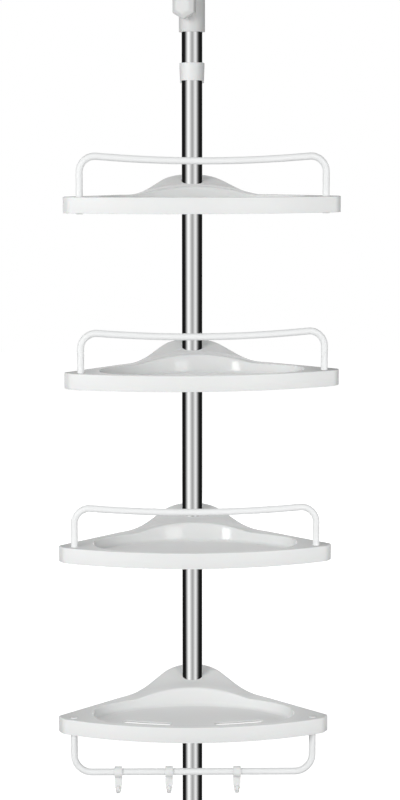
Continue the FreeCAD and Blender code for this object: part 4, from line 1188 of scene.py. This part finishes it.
# ---- Shelves: a tray with its rail or towel bar, and the socket caps ----
@dataclass(frozen=True)
class BentRod:
    """A round rod bent into a U that stands in a tray's sockets, upward or downward.

    Attributes:
        foot: Height of its ends over the rim, in millimetres.
        top: Height of its far level.
        bend: Radius of its two bends.
        sag: How much nearer to the feet its middle is.
        radius: Radius of the rod.
        screw_hole: Radius of the hole in each end.
        screw_depth: Depth of that hole.
        around: Divisions round the rod.
        bend_steps: Divisions of each bend.
        sag_steps: Divisions of the sagging middle.
    """

    foot: float
    top: float
    bend: float
    sag: float = 0.0
    radius: float = 4.0
    screw_hole: float = 2.0
    screw_depth: float = 12.5
    around: int = 32
    bend_steps: int = 20
    sag_steps: int = 40

    def build(self, name: str) -> Piece:
        """Sweeps a circle up one leg, round the bends and down the other leg.

        Args:
            name: The piece's name.

        Returns:
            The rod in its tray's frame.
        """
        up, ahead = (1 if self.top > self.foot else -1), -SOCKET_AHEAD
        knee_across, knee = SOCKET_ACROSS - self.bend, self.top - up * self.bend
        lean = 2 * math.degrees(math.atan(self.sag / knee_across))
        turns = [2 * math.pi * step / self.around for step in range(self.around)]
        rod = ring(name, [(self.radius * math.cos(turn) - SOCKET_ACROSS,
                           self.radius * math.sin(turn) + ahead, self.foot) for turn in turns])
        axis = (0, up, 0)
        with Bench(rod) as bench:
            extrude((0, 0, knee - self.foot))
            spin(90 + lean, (-knee_across, ahead, knee), axis, self.bend_steps)
            if self.sag:
                span = (knee_across ** 2 + self.sag ** 2) / (2 * self.sag) - self.bend
                spin(-2 * lean, (0, ahead, self.top - up * (self.sag - span)), axis, self.sag_steps)
            else:
                extrude((2 * knee_across, 0, 0))
            spin(90 + lean, (knee_across, ahead, knee), axis, self.bend_steps)
            extrude((0, 0, self.foot - knee))
            bench.close()
        low, high = sorted((self.foot - up, self.foot + up * self.screw_depth))
        for side in (-1, 1):
            hole = post("hole", self.screw_hole, low, high, side * SOCKET_ACROSS, ahead, 24)
            combine(rod, hole, Join.CUT)
        smooth(rod)
        return rod


@dataclass(frozen=True)
class Shelf:
    """One shelf of the unit.

    Attributes:
        name: The shelf's name.
        rim: Height of its rim plane over the floor, in millimetres.
        yaw: Its turn about the pole in degrees.
        rod: The node of its rail or towel bar.
        caps_up: Whether its socket caps sit on the rim, as over a towel bar.
    """

    name: str
    rim: float
    yaw: float
    rod: str
    caps_up: bool = False

    def build(self, tray: Piece, rod: Piece, caps: Piece) -> None:
        """Copies the shelf's pieces to their place, and makes the sleeve that it sits on.

        Args:
            tray: The tray in its own frame.
            rod: The rail or towel bar in the tray's frame.
            caps: The two socket caps in the tray's frame.
        """
        for form, node, slot in (
            (tray, f"{self.name}_tray", "white_plastic"),
            (rod, self.rod, "white_coating"),
            (caps, f"{self.name}_socket_caps", "white_plastic"),
        ):
            adopt(put(duplicate(form, node), self.rim, self.yaw), node, slot)
        sleeve = f"{self.name}_sleeve"
        SplitSleeve(sleeve, "grey_plastic", WEDGE_OUTLINE, (self.rim, self.rim), self.yaw).build()


@dataclass(frozen=True)
class Shelves:
    """The four shelves, whose trays, rails and caps are each made once and copied."""

    shelves: tuple[Shelf, ...] = (
        Shelf("first", 1011, 6.3, "first_rail"),
        Shelf("second", 810, 6.2, "second_rail"),
        Shelf("third", 604, 2.0, "third_rail"),
        Shelf("fourth", 396, 0.8, "towel_bar", caps_up=True),
    )
    rail: BentRod = BentRod(-9.5, 45.6, 18.0, 5.4)
    bar: BentRod = BentRod(-12.0, -67.0, 21.0)
    cap: Turning = Turning(((0, 1), (3.8, 1), (4.8, 0), (4, 0), (4, -3), (0, -3)), 0.3, 40)

    def build(self) -> None:
        """Makes each form once, then every shelf."""
        tray = TrayForm().build("tray_form")
        rail, bar = self.rail.build("rail_form"), self.bar.build("bar_form")
        upper, lower = self._caps(True), self._caps(False)
        for shelf in self.shelves:
            shelf.build(tray, *((bar, upper) if shelf.caps_up else (rail, lower)))
        for form in (tray, rail, bar, upper, lower):
            bpy.data.objects.remove(form)

    def _caps(self, upward: bool) -> Piece:
        """Two socket caps, crown up on the rim or crown down under the band.

        Args:
            upward: Whether the crowns point up.

        Returns:
            Both caps as one piece.
        """
        caps = []
        for side in (-1, 1):
            cap = self.cap.build("cap")
            if not upward:
                with Bench(cap):
                    bpy.ops.transform.rotate(value=math.pi, orient_axis="X", center_override=(0, 0, 0))
            caps.append(put(cap, 0 if upward else -BAND, 0, side * SOCKET_ACROSS, -SOCKET_AHEAD))
        return merged(caps)


# ---- Hooks ----
@dataclass(frozen=True)
class Hooks:
    """The three strap hooks on the towel bar, made once and copied.

    Each is a ring on the bar, a shank behind it and a curl that narrows to its tip. Sizes are in
    millimetres, with the bar's centre line as the X axis. The shank starts a little below that
    line, at root, and the curl's end rises by tip and is as wide as point. The bar hangs at
    bar_height over the floor and is turned with its tray.
    """

    places: tuple[tuple[str, float], ...] = (
        ("left_hook", -89.5), ("middle_hook", -29.0), ("right_hook", 52.0),
    )
    bar_height: float = 329.0
    yaw: float = 0.8
    width: float = 8.8
    strap: float = 2.4
    bore: float = 4.08
    drop: float = 25.5
    root: float = 2.0
    shank_steps: int = 4
    curl: float = 7.0
    tip: float = 3.0
    point: float = 2.4
    edge: float = 0.5

    def build(self) -> None:
        """Copies the hook to its three places on the bar."""
        form = self._form()
        for name, across in self.places:
            hook = put(duplicate(form, name), 0, 0, across, -SOCKET_AHEAD)
            adopt(put(hook, self.bar_height, self.yaw), name, "white_plastic")
        bpy.data.objects.remove(form)

    def _form(self) -> Piece:
        """Makes the ring and the strap, joins them and rounds their edges.

        Returns:
            The hook with the bar's centre at the origin.
        """
        hook, outside = self._rectangle("hook_form"), self.bore + self.strap
        with Bench(hook) as bench:
            spin(360, (0, 0, 0), (1, 0, 0), 64)
            bench.close()
        reach = self.curl + self.strap / 2
        centre, low = outside - reach, reach - self.drop
        strap = self._rectangle("strap")
        with Bench(strap) as bench:
            bpy.ops.transform.translate(value=(0, 0, -self.root * MM))
            for _ in range(self.shank_steps):
                extrude((0, 0, (low + self.root) / self.shank_steps))
            spin(-180, (0, centre, low), (1, 0, 0), 40)
            extrude((0, 0, self.tip))
            bench.close()
        for vertex in strap.data.vertices:
            place = vertex.co / MM - Vector((0, centre, low))
            turned = math.pi if place.y < 0 < place.z else max(math.atan2(-place.z, place.y), 0.0)
            vertex.co.x *= 1 + math.sin(turned / 2) * (self.point / self.width - 1)
        combine(hook, strap, Join.UNION)
        soften(hook, self.edge, sharp=50, segments=3)
        smooth(hook, 35)
        return hook

    def _rectangle(self, name: str) -> Piece:
        """The strap's cross-section behind the bar."""
        half, near, far = self.width / 2, self.bore, self.bore + self.strap
        return ring(name, [(-half, near, 0), (half, near, 0), (half, far, 0), (-half, far, 0)])


# ---- Studio and viewpoint ----
class Linking(Enum):
    """What a lamp does with the pieces of the collection that it is given."""

    LIGHTS_ALONE = "INCLUDE"
    SPARES = "EXCLUDE"


def area_lamp(name: str, place: Vector, away: Vector, size: Pair, power: float) -> Piece:
    """A rectangular lamp.

    Args:
        name: The lamp's name.
        place: Its middle in metres.
        away: Direction from what it lights to the lamp.
        size: Width and height in metres.
        power: Watts.

    Returns:
        The lamp.
    """
    bpy.ops.object.light_add(type="AREA", location=place)
    lamp = named(name)
    lamp.rotation_euler = away.to_track_quat("Z", "Y").to_euler()
    lamp.data.shape = "RECTANGLE"
    lamp.data.size, lamp.data.size_y = size
    lamp.data.energy = power
    return lamp


@dataclass(frozen=True)
class SoftBox:
    """A large lamp that faces the unit and stays out of mirror reflections.

    Attributes:
        name: The lamp's name.
        azimuth: Direction from the pole in degrees, 0 in front and positive to the right.
        elevation: Degrees above the point it faces.
        size: Width and height in metres.
        power: Watts.
        spares_clamp: Whether the clamp and the stop sleeve stay out of its light.
        aim: Height of the point it faces in metres.
        distance: Metres from that point.
    """

    name: str
    azimuth: float
    elevation: float
    size: Pair
    power: float
    spares_clamp: bool = False
    aim: float = 0.75
    distance: float = 3.2

    def build(self, spared: bpy.types.Collection) -> None:
        """Makes the lamp.

        Args:
            spared: What it leaves out where it spares the clamp.
        """
        turn, rise = math.radians(self.azimuth), math.radians(self.elevation)
        away = Vector((math.sin(turn) * math.cos(rise), -math.cos(turn) * math.cos(rise), math.sin(rise)))
        place = Vector((0.0, 0.0, self.aim)) + away * self.distance
        lamp = area_lamp(self.name, place, away, self.size, self.power)
        lamp.visible_glossy = False
        if self.spares_clamp:
            lamp.light_linking.receiver_collection = spared


@dataclass(frozen=True)
class Glint:
    """A small lamp close to a pocket's rear wall, seen only as a highlight on that wall.

    Attributes:
        name: The lamp's name.
        rim: Height of the tray's rim in millimetres.
        spot: Middle of the highlight on the wall in millimetres.
        azimuth: Direction from there to the lamp in degrees, positive to the right.
        width: Width in millimetres.
        level: Its brightness.
        gap: Millimetres between the lamp and the wall.
        foot: Lowest point over the rim in millimetres.
        head: Highest point over the rim in millimetres.
    """

    name: str
    rim: float
    spot: Pair
    azimuth: float
    width: float
    level: float
    gap: float = 27.0
    foot: float = -17.0
    head: float = 2.0

    def build(self, mirrors: bpy.types.Collection) -> None:
        """Makes the lamp, which faces the wall.

        Args:
            mirrors: The pieces that show it.
        """
        turn, height = math.radians(self.azimuth), self.head - self.foot
        away = Vector((math.sin(turn), -math.cos(turn), 0.0))
        place = Vector((*self.spot, self.rim + self.foot + height / 2)) + away * self.gap
        power = self.level * math.pi * self.width * height * MM * MM
        lamp = area_lamp(self.name, place * MM, away, (self.width * MM, height * MM), power)
        lamp.visible_camera = lamp.visible_diffuse = False
        lamp.light_linking.receiver_collection = mirrors


@dataclass(frozen=True)
class Drum:
    """Curved reflectors all round the unit, which only glossy surfaces see.

    Attributes:
        levels: Azimuths in degrees, 0 in front and positive to the right, each with its
            brightness. It changes evenly from one to the next.
        radius: Distance from the pole in metres.
        top: Height of the upper edge.
        foot: Height of the lower edge, so far down that no tilted mirror ray misses it.
        steps: Divisions of the full turn.
    """

    levels: Outline = (
        (-180, 0.8), (-165, 0.8), (-150, 0.01), (-95, 0.01), (-82, 0.03), (-60, 0.6), (-50, 1.0),
        (-36, 1.15), (-24, 0.9), (-12, 0.6), (0, 0.43), (8, 0.43), (22, 0.7), (34, 0.96),
        (46, 0.85), (58, 0.43), (72, 0.12), (85, 0.02), (100, 0.01), (150, 0.01), (165, 0.8), (180, 0.8),
    )
    radius: float = 0.45
    top: float = 2.1
    foot: float = -1.0
    steps: int = 90

    def build(self) -> None:
        """Makes the drum as one upright strip with its brightness as an attribute."""
        bpy.ops.mesh.primitive_grid_add(x_subdivisions=self.steps, y_subdivisions=1, size=1)
        sheet = named("reflector_drum")
        azimuths, values = zip(*self.levels)
        level = sheet.data.attributes.new("level", "FLOAT", "POINT")
        for vertex in sheet.data.vertices:
            azimuth, height = 360 * vertex.co.x, self.foot if vertex.co.y < 0 else self.top
            level.data[vertex.index].value = float(np.interp(azimuth, azimuths, values))
            turn = math.radians(azimuth)
            vertex.co = (self.radius * math.sin(turn), -self.radius * math.cos(turn), height)
        paint, tree, surface = blank_material("reflector_paint")
        painted = add_shader(tree, "Attribute", {}, attribute_name="level").outputs["Fac"]
        feed(tree, surface, {"Base Color": BLACK, "Specular IOR Level": 0.0, "Emission Color": WHITE,
                             "Emission Strength": painted})
        sheet.data.materials.append(paint)
        for ray in ("camera", "diffuse", "transmission", "volume_scatter", "shadow"):
            setattr(sheet, f"visible_{ray}", False)
        sheet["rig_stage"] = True


def linked(name: str, words: Sequence[str], linking: Linking) -> bpy.types.Collection:
    """A collection for lamps, of the pieces whose names hold one of the words.

    Args:
        name: The collection's name.
        words: Parts of names.
        linking: What the lamps do with these pieces.

    Returns:
        The collection.
    """
    found = bpy.data.collections.new(name)
    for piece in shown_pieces():
        if any(word in piece.name for word in words):
            found.objects.link(piece)
    for entry in found.collection_objects:
        entry.light_linking.link_state = linking.value
    return found


def seen_as(tree: Tree, plain: float, seen: float) -> Socket:
    """A strength with one value for the camera, gloss and glass, and another for all else.

    Args:
        tree: The node tree.
        plain: The value for every other ray.
        seen: The value for camera, glossy and transmitted rays.

    Returns:
        The socket that gives the strength.
    """
    rays = add_shader(tree, "LightPath", {}).outputs
    found = rays["Is Camera Ray"]
    for ray in ("Is Glossy Ray", "Is Transmission Ray"):
        found = add_shader(tree, "Math", {0: found, 1: rays[ray]}, operation="MAXIMUM").outputs[0]
    return add_shader(tree, "MapRange", {"Value": found, "To Min": plain, "To Max": seen}).outputs["Result"]


@dataclass(frozen=True)
class Studio:
    """White surroundings, soft boxes, and the reflectors that give the tube its stripes."""

    ambient: float = 0.3
    floor_tone: float = 0.4
    floor_glow: float = 0.85
    floor_side: float = 14.0
    boxes: tuple[SoftBox, ...] = (
        SoftBox("key_box", -40, 15, (1.4, 1.4), 50),
        SoftBox("fill_box", 30, 1, (1.4, 1.5), 29),
        SoftBox("left_box", -80, 5, (1.2, 2.6), 14),
        SoftBox("right_box", 75, 5, (1.2, 2.6), 24, spares_clamp=True),
        SoftBox("rear_box", 170, 8, (1.4, 1.5), 36),
    )
    glints: tuple[Glint, ...] = (
        Glint("second_left_glint", 810, (-13.4, -40.6), 24.6, 11, 2.6),
        Glint("second_right_glint", 810, (52.9, -39.7), -20.4, 6, 7.0),
        Glint("third_left_glint", 604, (-23.0, -40.7), 20.9, 14, 2.6),
        Glint("third_right_glint", 604, (41.9, -41.6), -23.4, 7, 7.0),
    )
    drum: Drum = Drum()

    def build(self) -> None:
        """Makes the world, the floor, the lamps and the reflectors."""
        self._world()
        self._floor()
        mirrors = linked("glinting_trays", ("_tray_piece",), Linking.LIGHTS_ALONE)
        spared = linked("spared_clamp", ("clamp_body", "clamp_knob", "stop_sleeve"), Linking.SPARES)
        for box in self.boxes:
            box.build(spared)
        for glint in self.glints:
            glint.build(mirrors)
        self.drum.build()

    def _world(self) -> None:
        """White behind the unit for the camera and for gloss, and an even grey light."""
        world = bpy.data.worlds.new("studio")
        bpy.context.scene.world = world
        world.use_nodes = True
        tree = world.node_tree
        feed(tree, tree.nodes["Background"], {"Color": WHITE, "Strength": seen_as(tree, self.ambient, 1.0)})

    def _floor(self) -> None:
        """A pale floor that is white to the camera apart from the unit's shadow."""
        bpy.ops.mesh.primitive_plane_add(size=self.floor_side, location=(0.0, 0.0, 0.0))
        floor = named("floor")
        stuff, tree, surface = blank_material("floor_white")
        glow = seen_as(tree, 0.0, self.floor_glow)
        feed(tree, surface, {"Base Color": (*[self.floor_tone] * 3, 1.0), "Roughness": 0.9,
                             "Emission Color": WHITE, "Emission Strength": glow})
        floor.data.materials.append(stuff)
        floor.visible_glossy = False
        floor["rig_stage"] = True


@dataclass(frozen=True)
class Viewpoint:
    """The camera: in front of the unit, a little above its first shelf, looking slightly down."""

    place: tuple[float, float, float] = (0.0096, -2.2, 1.075)
    pitch: float = 8.18
    lens: float = 81.48
    sensor: float = 36.0

    def build(self) -> None:
        """Makes the camera and looks through it."""
        bpy.ops.object.camera_add(location=self.place, rotation=(math.radians(90 - self.pitch), 0, 0))
        camera = named("viewpoint")
        camera.data.lens, camera.data.sensor_width = self.lens, self.sensor
        bpy.context.scene.camera = camera


def main() -> None:
    """Builds the studio, the viewpoint and every piece of the unit."""
    logging.basicConfig(level=logging.INFO, format="%(name)s: %(message)s")
    for left_over in list(bpy.data.objects):
        bpy.data.objects.remove(left_over)
    bpy.context.scene.view_settings.view_transform = "Standard"
    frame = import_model()
    stop = SplitSleeve("stop_sleeve", "white_plastic", STOP_OUTLINE, (1145, 1142))
    for part in (Viewpoint(), Pole(), *ENDS, Clamp(), stop, Shelves(), Hooks()):
        part.build()
    for name, node in frame["nodes"].items():
        if not node.hide_render:
            LOG.info("%s keeps its shape and material", name)
    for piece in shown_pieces():
        piece.visible_glossy = False
    Studio().build()


if __name__ == "__main__":
    main()
